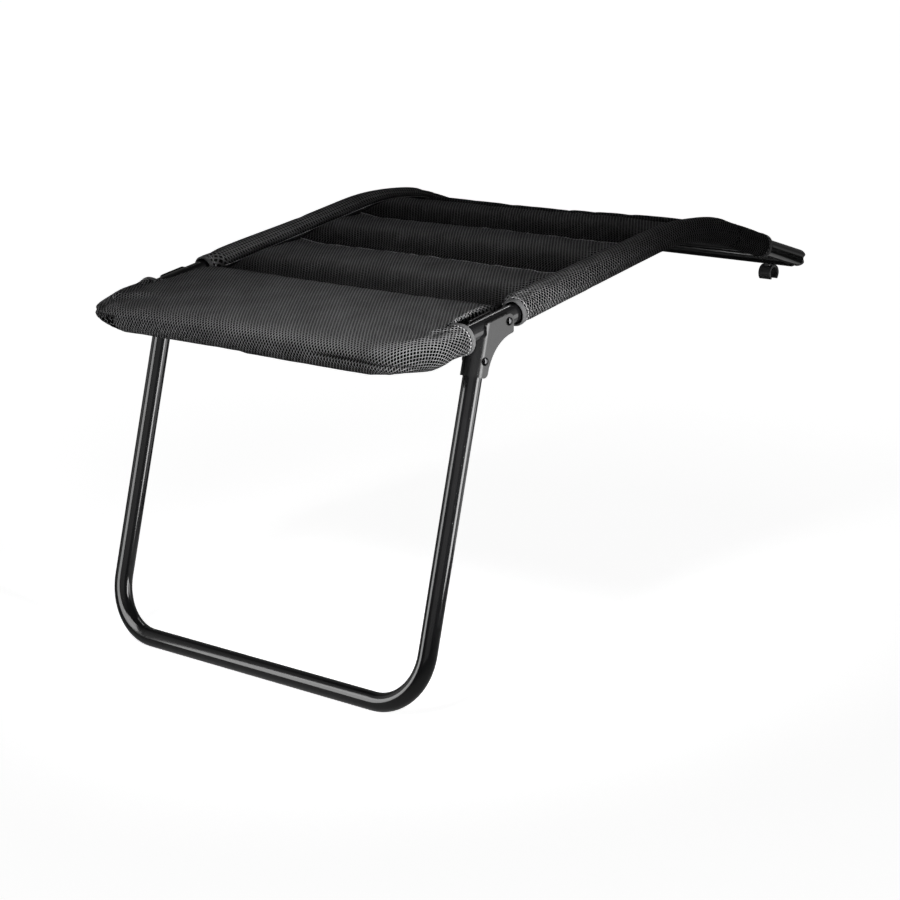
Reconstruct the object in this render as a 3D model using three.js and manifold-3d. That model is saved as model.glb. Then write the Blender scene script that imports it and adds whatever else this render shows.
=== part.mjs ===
// A folding leg rest that clips onto the front of a camping chair.
// X runs across, +Y towards the chair, +Z up. All sizes are in millimetres.
// A bent tube frame carries a padded mesh cover, and a U leg turns on two pressed brackets.
import * as THREE from "three";
import { mergeVertices } from "three/addons/utils/BufferGeometryUtils.js";
import Module from "manifold-3d";

const degree = Math.PI / 180;

// Tube stock, and the gaps between pieces
const tubeDiameter = 20;
const tubeWall = 1.2;
const seatGap = 0.3; // between two pieces that touch
const overrun = 5; // how far a cutter runs past what it cuts

// Frame: rails, foot-end bar and the bend over the crest
const railSpacing = 450; // centre to centre
const footEndHeight = 369.6; // centre of the foot-end bar above the ground
const footEndForward = 14; // the foot-end bar lies this far in front of the leg's foot
const footBendRadius = 48;
const railRiseAngle = 10.3;
const railFallAngle = 16.1;
const crestDistance = 481; // foot-end bar to the bend over the crest
const crestRadius = 340;
const railEndDistance = 227; // bend over the crest to the rail's end

// Cross bar at the chair end, with its clips
const crossBarInset = 13; // its centre lies this far before the rail ends
const crossBarDrop = 2.1; // and this far under the rails' centre line
const copeReach = 3.5; // the bar's coped end runs this far round the rail
const clipInset = 36; // rail's centre line to clip's centre
const clipBore = 14.8;
const clipWall = 2.6;
const clipWidth = 16;
const clipMouthAngle = 96;
const clipBossDiameter = 13;
const screwShank = 3.6;
const screwHead = 6.6;
const screwHeadDepth = 1.5;
const screwReach = 6; // past the inside of the cross bar's wall
const screwPointLength = 2.4;
const screwHoleClearance = 0.4;

// End caps in the rails
const saddleRadius = 12.5; // of the chair tube that the caps rest against
const capFlange = 6;
const capSpigotLength = 18;
const capSpigotClearance = 0.3;

// U leg
const legLean = 14.2; // the foot stands towards the foot end
const legBendRadius = 60;
const legTopClearance = 3; // between the leg's upper rim and the rail
const legRivetInset = 12.12; // the leg's upper end to its rivet

// Pivot brackets
const pivotBehindLeg = 30.85; // where the leg's centre line meets the rail's, to the pivot
const bracketThickness = 2;
const bracketSideGap = 0.8; // all round the tubes, and filled by the washers at the pivots
const bracketHeadRadius = 7.8; // round the pivot
const bracketFrontReach = 36; // pivot to the plate's front edge, along the rail
const bracketFrontCorner = 3;
const bracketHeelDepth = 13; // under the rail's centre line, behind the pivot
const bracketHeelInset = 2.4;
const bracketHeelCorner = 2;
const bracketStrip = 8; // leg axis to the plate's rear edge
const bracketFootCorner = 7;
const bracketStripTop = 6; // where the throat curve starts, under the rivet
const bracketFootLength = 17; // rivet to the lower edge
const bracketFlareTop = 19.2; // rivet to where the web ends, along the leg
const bracketFlareLow = 2; // under the rail's centre line
const bracketChannelDepth = 70;
const throatPull = 29.5; // heel to the control point of the throat curve, along the rail

// Rivets and washers
const rivetShank = 4.8;
const rivetHead = 7.2;
const rivetHeadHeight = 2.1;
const rivetHoleClearance = 0.6;
const washerDiameter = 13;
const washerThickness = 0.5;

// Padded sleeves round the rails
const sleeveStartSetback = 22.4; // pivot to the sleeve's hemmed mouth
const sleeveEndInset = 69; // the sleeve's other mouth to the rail's end
const sleevePadding = 4.8; // round the outboard half of the tube
const sleeveUnderPadding = 2.9;
const sleeveInnerPadding = 6.4; // towards the panel
const sleeveFullness = 2.4; // how far the inner upper quarter stands proud
const sleeveHemPadding = 2.6;
const sleeveHemLength = 5;
const sleeveBoreClearance = 0.4;

// Foot pillow
const pillowPadding = 5.3; // round the frame tube
const pillowUnderPadding = 4.2;
const pillowCornerPinch = 2.4; // the underside is drawn up to the tube at the corners
const pillowMouthDroop = 3; // and hangs lower at the mouths
const pillowMouthSetback = 54.9; // the mouths round the rails to the pivot
const pillowSeamSetback = 25.1; // pivot to the seam with the panel
const pillowSeamHalf = 2.2; // half the thickness at that seam
const pillowNeckInset = 26; // rail's centre line to the notch's inner side
const pillowCrown = 1.6; // extra fullness in the middle
const pillowCornerTuck = 4; // how far the tucked corners poke out
const notchCorner = 26; // how far the notch's rounded corner reaches inboard to the mouth

// Quilted panel
const panelFirstChannel = 126; // pillow seam to the first cross seam
const panelChannels = 4;
const panelHem = 22; // flat hem at the chair end
const panelEndInset = 80.4; // the panel's rear edge to the rail's end
const panelSeamTop = 0; // top of a seam above the rails' centre line
const panelSeamThickness = 4;
const panelCrownTop = 8; // top of a channel above its seams
const panelCrownUnder = 5;
const panelEdgeRun = 26; // width over which a channel draws down to the sleeve

// Facet counts
const tubeSides = 20;
const cornerSteps = 10; // rings in a right-angle bend
const crestSteps = 6;
const smallSides = 14;
const domeSteps = 4; // rings on a rivet's head
const outlineSteps = 8; // edges to a curve in the brackets' outline
const sleeveSteps = 4; // rings along the sleeves' straight run
const channelSteps = 7; // rows across a channel of the panel
const pillowBoreSides = 12;
const mergeDistance = 1e-4; // closer than this counts as one place

const wasm = await Module();
wasm.setup();

// A geometry as a manifold solid, and back
function solidOf(geometry) {
  const bare = new THREE.BufferGeometry();
  const source = geometry.index ? geometry.toNonIndexed() : geometry;
  bare.setAttribute("position", source.getAttribute("position"));
  const merged = mergeVertices(bare, mergeDistance);
  const mesh = new wasm.Mesh({
    numProp: 3,
    vertProperties: merged.attributes.position.array,
    triVerts: new Uint32Array(merged.index.array),
  });
  return new wasm.Manifold(mesh);
}

function geometryOf(solid) {
  const mesh = solid.getMesh();
  const geometry = new THREE.BufferGeometry();
  geometry.setAttribute("position", new THREE.BufferAttribute(mesh.vertProperties, 3));
  geometry.setIndex(new THREE.BufferAttribute(mesh.triVerts, 1));
  const flat = geometry.toNonIndexed();
  flat.computeVertexNormals();
  return flat;
}

// Triangles between loops of points, with the faces turned outwards at the end
class Skin {
  constructor() {
    this.triangles = [];
  }
  quad(a, b, c, d) {
    this.triangles.push(a, b, c, a, c, d);
  }
  band(first, second) {
    const count = first.length;
    for (let i = 0; i < count; i++) {
      const j = (i + 1) % count;
      this.quad(first[i], first[j], second[j], second[i]);
    }
  }
  lid(loop, flipped) {
    const centre = new THREE.Vector3();
    for (const p of loop) centre.add(p);
    centre.divideScalar(loop.length);
    for (let i = 0; i < loop.length; i++) {
      const a = loop[i];
      const b = loop[(i + 1) % loop.length];
      if (flipped) this.triangles.push(centre, a, b);
      else this.triangles.push(centre, b, a);
    }
  }
  geometry() {
    let volume = 0;
    const t = this.triangles;
    const cross = new THREE.Vector3();
    for (let i = 0; i < t.length; i += 3) volume += t[i].dot(cross.crossVectors(t[i + 1], t[i + 2]));
    if (volume < 0) {
      for (let i = 0; i < t.length; i += 3) [t[i + 1], t[i + 2]] = [t[i + 2], t[i + 1]];
    }
    const geometry = new THREE.BufferGeometry().setFromPoints(t);
    geometry.computeVertexNormals();
    return geometry;
  }
}

// A route of straight runs joined by round bends: a list of points, each with its direction
function bentRoute(corners, radii, ringCounts) {
  const stations = [];
  const last = corners.length - 1;
  const heading = (i) => corners[i + 1].clone().sub(corners[i]).normalize();
  stations.push({ point: corners[0], along: heading(0) });
  for (let i = 1; i < last; i++) {
    const before = heading(i - 1);
    const after = heading(i);
    const turn = before.angleTo(after);
    const setback = radii[i - 1] * Math.tan(turn / 2);
    const start = corners[i].clone().addScaledVector(before, -setback);
    const axis = new THREE.Vector3().crossVectors(before, after).normalize();
    const spoke = new THREE.Vector3().crossVectors(before, axis).multiplyScalar(radii[i - 1]);
    const centre = start.clone().sub(spoke);
    const steps = ringCounts[i - 1];
    for (let k = 0; k <= steps; k++) {
      const angle = (turn * k) / steps;
      stations.push({
        point: centre.clone().add(spoke.clone().applyAxisAngle(axis, angle)),
        along: before.clone().applyAxisAngle(axis, angle),
      });
    }
  }
  stations.push({ point: corners[last], along: heading(last - 1) });
  return stations;
}

// Loops round a route. The section is a function of the angle and the station's place in the list.
function loopsAlong(route, sides, radiusAt, sideways) {
  return route.map((station, index) => {
    const up = new THREE.Vector3().crossVectors(sideways(station), station.along).normalize();
    const side = new THREE.Vector3().crossVectors(station.along, up).normalize();
    const loop = [];
    for (let i = 0; i < sides; i++) {
      const angle = ((i + 0.5) * 2 * Math.PI) / sides;
      const radius = radiusAt(angle, index);
      const p = station.point.clone();
      p.addScaledVector(side, radius * Math.cos(angle));
      p.addScaledVector(up, radius * Math.sin(angle));
      loop.push(p);
    }
    return loop;
  });
}

// A pipe between an outer and an inner set of loops, or a solid bar where there is no inner set
function pipe(outer, inner) {
  const skin = new Skin();
  const last = outer.length - 1;
  for (let i = 0; i < last; i++) skin.band(outer[i], outer[i + 1]);
  if (inner) {
    for (let i = 0; i < last; i++) skin.band(inner[i + 1], inner[i]);
    skin.band(inner[0], outer[0]);
    skin.band(outer[last], inner[last]);
  } else {
    skin.lid(outer[0], false);
    skin.lid(outer[last], true);
  }
  return skin.geometry();
}

// A round bar between two points
function bar(from, to, radius, sides) {
  const along = to.clone().sub(from);
  const geometry = new THREE.CylinderGeometry(radius, radius, along.length(), sides);
  const barAxis = new THREE.Vector3(0, 1, 0); // of an unturned cylinder
  geometry.applyQuaternion(new THREE.Quaternion().setFromUnitVectors(barAxis, along.clone().normalize()));
  const middle = from.clone().add(to).multiplyScalar(0.5);
  geometry.translate(middle.x, middle.y, middle.z);
  return geometry;
}

const tubeRadius = tubeDiameter / 2;
const boreRadius = tubeRadius - tubeWall;
const halfSpacing = railSpacing / 2;
const clipX = halfSpacing - clipInset;
const xAxis = new THREE.Vector3(1, 0, 0);

// Places in the side view, as [y, z]. The rail's line starts at the foot-end bar.
const riseSlope = Math.tan(railRiseAngle * degree);
const fallSlope = Math.tan(railFallAngle * degree);
const footEndY = -footEndForward;
const crestY = footEndY + crestDistance;
const crestZ = footEndHeight + crestDistance * riseSlope;
const railEndY = crestY + railEndDistance;
const railEndZ = crestZ - railEndDistance * fallSlope;
const crestSetback = crestRadius * Math.tan(((railRiseAngle + railFallAngle) * degree) / 2);
const crestStartY = crestY - crestSetback * Math.cos(railRiseAngle * degree);
const crestEndY = crestY + crestSetback * Math.cos(railFallAngle * degree);
const crestStartZ = footEndHeight + (crestStartY - footEndY) * riseSlope;
const crestCentreY = crestStartY + crestRadius * Math.sin(railRiseAngle * degree);
const crestCentreZ = crestStartZ - crestRadius * Math.cos(railRiseAngle * degree);

// The rails' centre line: its height and its slope at a given y
function railHeight(y) {
  if (y < crestStartY) return footEndHeight + (y - footEndY) * riseSlope;
  if (y > crestEndY) return crestZ - (y - crestY) * fallSlope;
  return crestCentreZ + Math.sqrt(crestRadius ** 2 - (y - crestCentreY) ** 2);
}

function railAngle(y) {
  if (y < crestStartY) return railRiseAngle * degree;
  if (y > crestEndY) return -railFallAngle * degree;
  return -Math.asin((y - crestCentreY) / crestRadius);
}

const materials = {
  powderBlack: { color: 0x0b0b0c, roughness: 0.28, metalness: 0.6 },
  bracketBlack: { color: 0x1c1c1d, roughness: 0.45, metalness: 0.6 },
  plasticBlack: { color: 0x161617, roughness: 0.6, metalness: 0 },
  rivetBlack: { color: 0x101011, roughness: 0.25, metalness: 0.8 },
  nylon: { color: 0x2a2a2b, roughness: 0.7, metalness: 0 },
  zincScrew: { color: 0x3a3a3c, roughness: 0.4, metalness: 0.9 },
  meshFabric: { color: 0x19191a, roughness: 0.95, metalness: 0 },
};

const legRest = new THREE.Group();

function addPiece(name, geometry, finish, parent = legRest, x = 0, y = 0, z = 0) {
  const mesh = new THREE.Mesh(geometry, new THREE.MeshStandardMaterial(materials[finish]));
  mesh.name = name;
  mesh.position.set(x, y, z);
  parent.add(mesh);
  return mesh;
}

const sides = [
  { name: "left", sign: -1 },
  { name: "right", sign: 1 },
];

// Frame tube: rails, corners and foot-end bar are one bent tube, holed for the pivots
const railEnd = (sign) => new THREE.Vector3(sign * halfSpacing, railEndY, railEndZ);
const railCrest = (sign) => new THREE.Vector3(sign * halfSpacing, crestY, crestZ);
const footCorner = (sign) => new THREE.Vector3(sign * halfSpacing, footEndY, footEndHeight);
const frameRoute = bentRoute(
  [railEnd(-1), railCrest(-1), footCorner(-1), footCorner(1), railCrest(1), railEnd(1)],
  [crestRadius, footBendRadius, footBendRadius, crestRadius],
  [crestSteps, cornerSteps, cornerSteps, crestSteps],
);

// Across the frame's own plane: square to both X and the foot bends' axis
const railNormal = new THREE.Vector3(0, -Math.sin(railRiseAngle * degree), Math.cos(railRiseAngle * degree));

function frameSideways(station) {
  const inSidePlane = Math.abs(station.along.x) < mergeDistance;
  if (inSidePlane) return station.along.y < 0 ? xAxis.clone().negate() : xAxis.clone();
  return new THREE.Vector3().crossVectors(station.along, railNormal);
}

// Directions in the side view
const railAlong = new THREE.Vector3(0, Math.cos(railRiseAngle * degree), Math.sin(railRiseAngle * degree));
const fallAlong = new THREE.Vector3(0, Math.cos(railFallAngle * degree), -Math.sin(railFallAngle * degree));

// Where the leg's centre line meets the rail's sets the pivot
const legUp = new THREE.Vector3(0, Math.sin(legLean * degree), Math.cos(legLean * degree));
const legBack = new THREE.Vector3(0, Math.cos(legLean * degree), -Math.sin(legLean * degree));
const legFoot = new THREE.Vector3(0, 0, tubeRadius);
const legMeetsRail =
  (footEndHeight + footEndForward * riseSlope - legFoot.z) / (legUp.z - legUp.y * riseSlope);
const pivotY = legMeetsRail * legUp.y + pivotBehindLeg;
const pivotZ = railHeight(pivotY);
const rivetHoleRadius = (rivetShank + rivetHoleClearance) / 2;

// The saddle at the rail's end: a round hollow whose axis runs across
function saddleCutter(sign, radius) {
  const depth = saddleRadius - Math.sqrt(saddleRadius ** 2 - tubeRadius ** 2);
  const centre = railEnd(sign).addScaledVector(fallAlong, saddleRadius - depth);
  const half = new THREE.Vector3(tubeRadius + overrun, 0, 0);
  return solidOf(bar(centre.clone().sub(half), centre.clone().add(half), radius, 2 * tubeSides));
}

function makeFrameTube() {
  const outer = loopsAlong(frameRoute, tubeSides, () => tubeRadius, frameSideways);
  const inner = loopsAlong(frameRoute, tubeSides, () => boreRadius, frameSideways);
  let tube = solidOf(pipe(outer, inner));
  for (const { sign } of sides) {
    const centre = new THREE.Vector3(sign * halfSpacing, pivotY, pivotZ);
    const half = new THREE.Vector3(tubeRadius + overrun, 0, 0);
    const hole = bar(centre.clone().sub(half), centre.clone().add(half), rivetHoleRadius, smallSides);
    tube = tube.subtract(solidOf(hole));
    tube = tube.subtract(saddleCutter(sign, saddleRadius + capFlange));
  }
  return geometryOf(tube);
}
addPiece("frame_tube", makeFrameTube(), "powderBlack");

// End caps: a spigot in the tube and a flange with the saddle face
function makeEndCap(sign) {
  const tip = railEnd(sign).addScaledVector(fallAlong, overrun);
  const root = railEnd(sign).addScaledVector(fallAlong, -capFlange - capSpigotLength);
  const shoulder = railEnd(sign).addScaledVector(fallAlong, -capSpigotLength);
  const flange = solidOf(bar(shoulder, tip, tubeRadius, tubeSides));
  const spigot = solidOf(bar(root, tip, boreRadius - capSpigotClearance, tubeSides));
  return geometryOf(
    flange
      .intersect(saddleCutter(sign, saddleRadius + capFlange - seatGap))
      .add(spigot)
      .subtract(saddleCutter(sign, saddleRadius)),
  );
}
for (const { name, sign } of sides) addPiece(name + "_rail_end_cap", makeEndCap(sign), "plasticBlack");

// Cross bar, coped to the rails and holed for the clip screws
const crossBarY = railEndY - crossBarInset;
const crossBarZ = railHeight(crossBarY) - crossBarDrop;
const screwHoleRadius = (screwShank + screwHoleClearance) / 2;
const clipOuterRadius = clipBore / 2 + clipWall;
const clipZ = crossBarZ - tubeRadius - seatGap - clipOuterRadius;
const screwFace = clipBore / 2 + 2 * seatGap; // the head's face above the clip's centre

function makeCrossBar() {
  const reach = halfSpacing - tubeRadius + copeReach;
  const ends = [-reach, reach].map((x) => new THREE.Vector3(x, crossBarY, crossBarZ));
  let tube = solidOf(bar(ends[0], ends[1], tubeRadius, tubeSides));
  const past = new THREE.Vector3(overrun, 0, 0);
  const bore = bar(ends[0].clone().sub(past), ends[1].clone().add(past), boreRadius, tubeSides);
  tube = tube.subtract(solidOf(bore));
  for (const { sign } of sides) {
    const pastEnd = railEnd(sign).addScaledVector(fallAlong, tubeDiameter);
    tube = tube.subtract(solidOf(bar(railCrest(sign), pastEnd, tubeRadius + seatGap, 2 * tubeSides)));
    const holeTop = new THREE.Vector3(sign * clipX, crossBarY, crossBarZ);
    const holeBottom = holeTop.clone().setZ(clipZ);
    tube = tube.subtract(solidOf(bar(holeTop, holeBottom, screwHoleRadius, smallSides)));
  }
  return geometryOf(tube);
}
addPiece("chair_end_cross_bar", makeCrossBar(), "powderBlack");

// Snap clips: a C with round lips and a boss that seats against the bar
function makeClip() {
  const inner = clipBore / 2;
  const middle = inner + clipWall / 2;
  const halfMouth = (clipMouthAngle / 2) * degree;
  const start = -Math.PI / 2 + halfMouth;
  const end = (3 * Math.PI) / 2 - halfMouth;
  const profile = new THREE.Shape();
  profile.absarc(0, 0, clipOuterRadius, start, end, false);
  const lip = clipWall / 2;
  profile.absarc(middle * Math.cos(end), middle * Math.sin(end), lip, end, end + Math.PI, false);
  profile.absarc(0, 0, inner, end, start, true);
  profile.absarc(middle * Math.cos(start), middle * Math.sin(start), lip, start - Math.PI, start, false);
  const ring = new THREE.ExtrudeGeometry(profile, {
    depth: clipWidth,
    bevelEnabled: false,
    curveSegments: smallSides,
  });
  ring.translate(0, 0, -clipWidth / 2);
  const standing = new THREE.Matrix4().makeBasis(
    new THREE.Vector3(0, 1, 0),
    new THREE.Vector3(0, 0, 1),
    new THREE.Vector3(1, 0, 0),
  );
  ring.applyMatrix4(standing);
  const barCentre = crossBarZ - clipZ;
  const boss = bar(
    new THREE.Vector3(0, 0, middle),
    new THREE.Vector3(0, 0, barCentre - tubeRadius / 2),
    clipBossDiameter / 2,
    2 * smallSides,
  );
  const half = new THREE.Vector3(clipWidth / 2 + overrun, 0, 0);
  const bore = bar(half.clone().negate(), half, inner, 2 * smallSides);
  const aboveBar = new THREE.Vector3(0, 0, barCentre);
  const barEnds = [aboveBar.clone().sub(half), aboveBar.clone().add(half)];
  const barHollow = bar(barEnds[0], barEnds[1], tubeRadius + seatGap, 2 * tubeSides);
  const screwHole = bar(new THREE.Vector3(), aboveBar, screwHoleRadius, smallSides);
  const sink = new THREE.LatheGeometry(
    [
      new THREE.Vector2(0, 0),
      new THREE.Vector2(screwHead / 2 + seatGap, 0),
      new THREE.Vector2(screwHead / 2 + seatGap, screwFace),
      new THREE.Vector2(screwHoleRadius, screwFace + screwHeadDepth + seatGap),
      new THREE.Vector2(0, screwFace + screwHeadDepth + seatGap),
    ],
    smallSides,
  );
  sink.rotateX(Math.PI / 2);
  return geometryOf(
    solidOf(ring)
      .add(solidOf(boss))
      .subtract(solidOf(bore))
      .subtract(solidOf(barHollow))
      .subtract(solidOf(screwHole))
      .subtract(solidOf(sink)),
  );
}

// Countersunk screws from inside each clip up through the bar's wall
function makeClipScrew() {
  const shank = screwShank / 2;
  const tip = crossBarZ - clipZ - boreRadius + screwReach;
  const profile = [
    new THREE.Vector2(0, screwFace),
    new THREE.Vector2(screwHead / 2, screwFace),
    new THREE.Vector2(shank, screwFace + screwHeadDepth),
    new THREE.Vector2(shank, tip - screwPointLength),
    new THREE.Vector2(0, tip),
  ];
  const screw = new THREE.LatheGeometry(profile, smallSides);
  screw.rotateX(Math.PI / 2);
  return geometryOf(solidOf(screw));
}
for (const { name, sign } of sides) {
  const x = sign * clipX;
  addPiece(name + "_chair_clip", makeClip(), "plasticBlack", legRest, x, crossBarY, clipZ);
  addPiece(name + "_clip_screw", makeClipScrew(), "zincScrew", legRest, x, crossBarY, clipZ);
}

// U leg: one tube in a leaning plane, holed for its rivets
const legToRail = legUp.angleTo(railAlong);
const legLength =
  legMeetsRail - (tubeRadius + legTopClearance) / Math.sin(legToRail) - tubeRadius / Math.tan(legToRail);
const legRivetAlong = legLength - legRivetInset;

function onLeg(along, back = 0, x = 0) {
  return legFoot.clone().addScaledVector(legUp, along).addScaledVector(legBack, back).setX(x);
}
const legRivetPlace = onLeg(legRivetAlong);

function makeLegTube() {
  const route = bentRoute(
    [
      onLeg(legLength, 0, -halfSpacing),
      onLeg(0, 0, -halfSpacing),
      onLeg(0, 0, halfSpacing),
      onLeg(legLength, 0, halfSpacing),
    ],
    [legBendRadius, legBendRadius],
    [cornerSteps, cornerSteps],
  );
  const sideways = (station) => new THREE.Vector3().crossVectors(station.along, legBack);
  const outer = loopsAlong(route, tubeSides, () => tubeRadius, sideways);
  const inner = loopsAlong(route, tubeSides, () => boreRadius, sideways);
  let tube = solidOf(pipe(outer, inner));
  for (const { sign } of sides) {
    const centre = legRivetPlace.clone().setX(sign * halfSpacing);
    const half = new THREE.Vector3(tubeRadius + overrun, 0, 0);
    const hole = bar(centre.clone().sub(half), centre.clone().add(half), rivetHoleRadius, smallSides);
    tube = tube.subtract(solidOf(hole));
  }
  return geometryOf(tube);
}
const foldingLeg = new THREE.Group();
legRest.add(foldingLeg);
addPiece("leg_tube", makeLegTube(), "powderBlack", foldingLeg);

// Brackets: a channel that hugs the leg, trimmed to the plates' side outline
const pivot = new THREE.Vector3(0, pivotY, pivotZ);

function onRail(along, above) {
  return pivot.clone().addScaledVector(railAlong, along).addScaledVector(railNormal, above);
}
const channelInnerHalf = tubeRadius + bracketSideGap;
const channelOuterHalf = channelInnerHalf + bracketThickness;

function bracketOutline() {
  const flat = (p) => new THREE.Vector2(p.y, p.z);
  const heel = flat(onRail(bracketHeadRadius - bracketHeelInset, -bracketHeelDepth));
  const heelInner = flat(onRail(bracketHeadRadius - bracketHeelInset - bracketHeelCorner, -bracketHeelDepth));
  const heelUpper = flat(onRail(bracketHeadRadius - bracketHeelInset, -bracketHeelDepth + bracketHeelCorner));
  const headEnd = flat(onRail(bracketHeadRadius, 0));
  const throat = flat(onRail(bracketHeadRadius - bracketHeelInset - throatPull, -bracketHeelDepth));
  const stripTop = flat(onLeg(legRivetAlong - bracketStripTop, bracketStrip));
  const stripEnd = flat(onLeg(legRivetAlong - bracketFootLength + bracketFootCorner, bracketStrip));
  const footRear = flat(onLeg(legRivetAlong - bracketFootLength, bracketStrip));
  const footInner = flat(onLeg(legRivetAlong - bracketFootLength, bracketStrip - bracketFootCorner));
  const footFront = flat(onLeg(legRivetAlong - bracketFootLength, -channelOuterHalf - overrun));
  const webTop = flat(onLeg(legRivetAlong + bracketFlareTop, -channelOuterHalf - overrun));
  const webEdge = flat(onLeg(legRivetAlong + bracketFlareTop, -channelOuterHalf));
  const flarePull = flat(onRail(-bracketFrontReach, -bracketFlareLow - bracketFrontCorner));
  const frontLow = flat(onRail(-bracketFrontReach, -bracketFlareLow));
  const frontUpper = -bracketFrontReach + bracketFrontCorner / 2;
  const frontHigh = flat(onRail(frontUpper, bracketHeadRadius - bracketFrontCorner));
  const cornerPull = flat(onRail(frontUpper, bracketHeadRadius));
  const topFront = flat(onRail(-bracketFrontReach + 2 * bracketFrontCorner, bracketHeadRadius));
  const topRear = flat(onRail(0, bracketHeadRadius));
  const outline = new THREE.Shape();
  outline.moveTo(topFront.x, topFront.y);
  outline.lineTo(topRear.x, topRear.y);
  const lobe = railRiseAngle * degree;
  outline.absarc(pivot.y, pivot.z, bracketHeadRadius, Math.PI / 2 + lobe, lobe, true);
  outline.lineTo(headEnd.x, headEnd.y);
  outline.lineTo(heelUpper.x, heelUpper.y);
  outline.quadraticCurveTo(heel.x, heel.y, heelInner.x, heelInner.y);
  outline.quadraticCurveTo(throat.x, throat.y, stripTop.x, stripTop.y);
  outline.lineTo(stripEnd.x, stripEnd.y);
  outline.quadraticCurveTo(footRear.x, footRear.y, footInner.x, footInner.y);
  outline.lineTo(footFront.x, footFront.y);
  outline.lineTo(webTop.x, webTop.y);
  outline.lineTo(webEdge.x, webEdge.y);
  outline.quadraticCurveTo(flarePull.x, flarePull.y, frontLow.x, frontLow.y);
  outline.lineTo(frontHigh.x, frontHigh.y);
  outline.quadraticCurveTo(cornerPull.x, cornerPull.y, topFront.x, topFront.y);
  return outline;
}

// The rail drops into the bracket through this slot, which is round under the rail
function railSlot() {
  const radius = tubeRadius + seatGap;
  const slot = new THREE.Shape();
  slot.moveTo(-radius, bracketChannelDepth);
  slot.lineTo(radius, bracketChannelDepth);
  slot.absarc(0, 0, radius, 0, -Math.PI, true);
  const cutter = new THREE.ExtrudeGeometry(slot, {
    depth: 2 * bracketChannelDepth,
    bevelEnabled: false,
    curveSegments: tubeSides,
  });
  cutter.applyMatrix4(new THREE.Matrix4().makeBasis(xAxis, railNormal, railAlong.clone().negate()));
  const start = onRail(bracketChannelDepth, 0);
  return cutter.translate(start.x, start.y, start.z);
}

function makeBracket() {
  const channel = new THREE.Shape();
  channel.moveTo(channelInnerHalf, bracketChannelDepth);
  channel.lineTo(channelOuterHalf, bracketChannelDepth);
  channel.absarc(0, 0, channelOuterHalf, 0, -Math.PI, true);
  channel.lineTo(-channelOuterHalf, bracketChannelDepth);
  channel.lineTo(-channelInnerHalf, bracketChannelDepth);
  channel.absarc(0, 0, channelInnerHalf, -Math.PI, 0, false);
  const strip = new THREE.ExtrudeGeometry(channel, {
    depth: 2 * bracketChannelDepth,
    bevelEnabled: false,
    curveSegments: tubeSides / 2,
  });
  strip.applyMatrix4(new THREE.Matrix4().makeBasis(xAxis, legBack, legUp));
  const lift = onLeg(legRivetAlong - bracketChannelDepth);
  strip.translate(lift.x, lift.y, lift.z);
  const side = new THREE.ExtrudeGeometry(bracketOutline(), {
    depth: 2 * (channelOuterHalf + overrun),
    bevelEnabled: false,
    curveSegments: outlineSteps,
  });
  const across = new THREE.Matrix4().makeBasis(
    new THREE.Vector3(0, 1, 0),
    new THREE.Vector3(0, 0, 1),
    new THREE.Vector3(1, 0, 0),
  );
  side.applyMatrix4(across);
  side.translate(-channelOuterHalf - overrun, 0, 0);
  let bracket = solidOf(strip).intersect(solidOf(side)).subtract(solidOf(railSlot()));
  for (const place of [pivot, legRivetPlace]) {
    const half = new THREE.Vector3(channelOuterHalf + overrun, 0, 0);
    const hole = bar(place.clone().sub(half), place.clone().add(half), rivetHoleRadius, smallSides);
    bracket = bracket.subtract(solidOf(hole));
  }
  return geometryOf(bracket);
}

// Rivets with a domed head at each end, and plastic washers beside the rail
function makeRivet() {
  const plate = channelOuterHalf + seatGap;
  const half = rivetHead / 2;
  const profile = [new THREE.Vector2(0, -plate - rivetHeadHeight)];
  for (let i = 1; i <= domeSteps; i++) {
    const angle = ((Math.PI / 2) * i) / domeSteps;
    profile.push(new THREE.Vector2(half * Math.sin(angle), -plate - rivetHeadHeight * Math.cos(angle)));
  }
  profile.push(new THREE.Vector2(rivetShank / 2, -plate));
  const mirrored = profile.map((p) => new THREE.Vector2(p.x, -p.y)).reverse();
  const rivet = new THREE.LatheGeometry([...profile, ...mirrored], smallSides);
  rivet.rotateZ(Math.PI / 2);
  return geometryOf(solidOf(rivet));
}

function makeWasher() {
  const hole = rivetHoleRadius;
  const rim = washerDiameter / 2;
  const profile = [
    new THREE.Vector2(hole, -washerThickness / 2),
    new THREE.Vector2(rim, -washerThickness / 2),
    new THREE.Vector2(rim, washerThickness / 2),
    new THREE.Vector2(hole, washerThickness / 2),
    new THREE.Vector2(hole, -washerThickness / 2),
  ];
  const washer = new THREE.LatheGeometry(profile, smallSides);
  washer.rotateZ(Math.PI / 2);
  return geometryOf(solidOf(washer));
}

for (const { name, sign } of sides) {
  const x = sign * halfSpacing;
  addPiece(name + "_leg_bracket", makeBracket(), "bracketBlack", foldingLeg, x);
  addPiece(name + "_pivot_rivet", makeRivet(), "rivetBlack", legRest, x, pivotY, pivotZ);
  addPiece(name + "_leg_rivet", makeRivet(), "rivetBlack", foldingLeg, x, legRivetPlace.y, legRivetPlace.z);
  const washerX = tubeRadius + bracketSideGap / 2;
  addPiece(name + "_outer_pivot_washer", makeWasher(), "nylon", legRest, x + sign * washerX, pivotY, pivotZ);
  addPiece(name + "_inner_pivot_washer", makeWasher(), "nylon", legRest, x - sign * washerX, pivotY, pivotZ);
}

// Smooth step from 0 to 1 between two places
function ease(from, to, value) {
  const t = Math.min(1, Math.max(0, (value - from) / (to - from)));
  return t * t * (3 - 2 * t);
}

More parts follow.
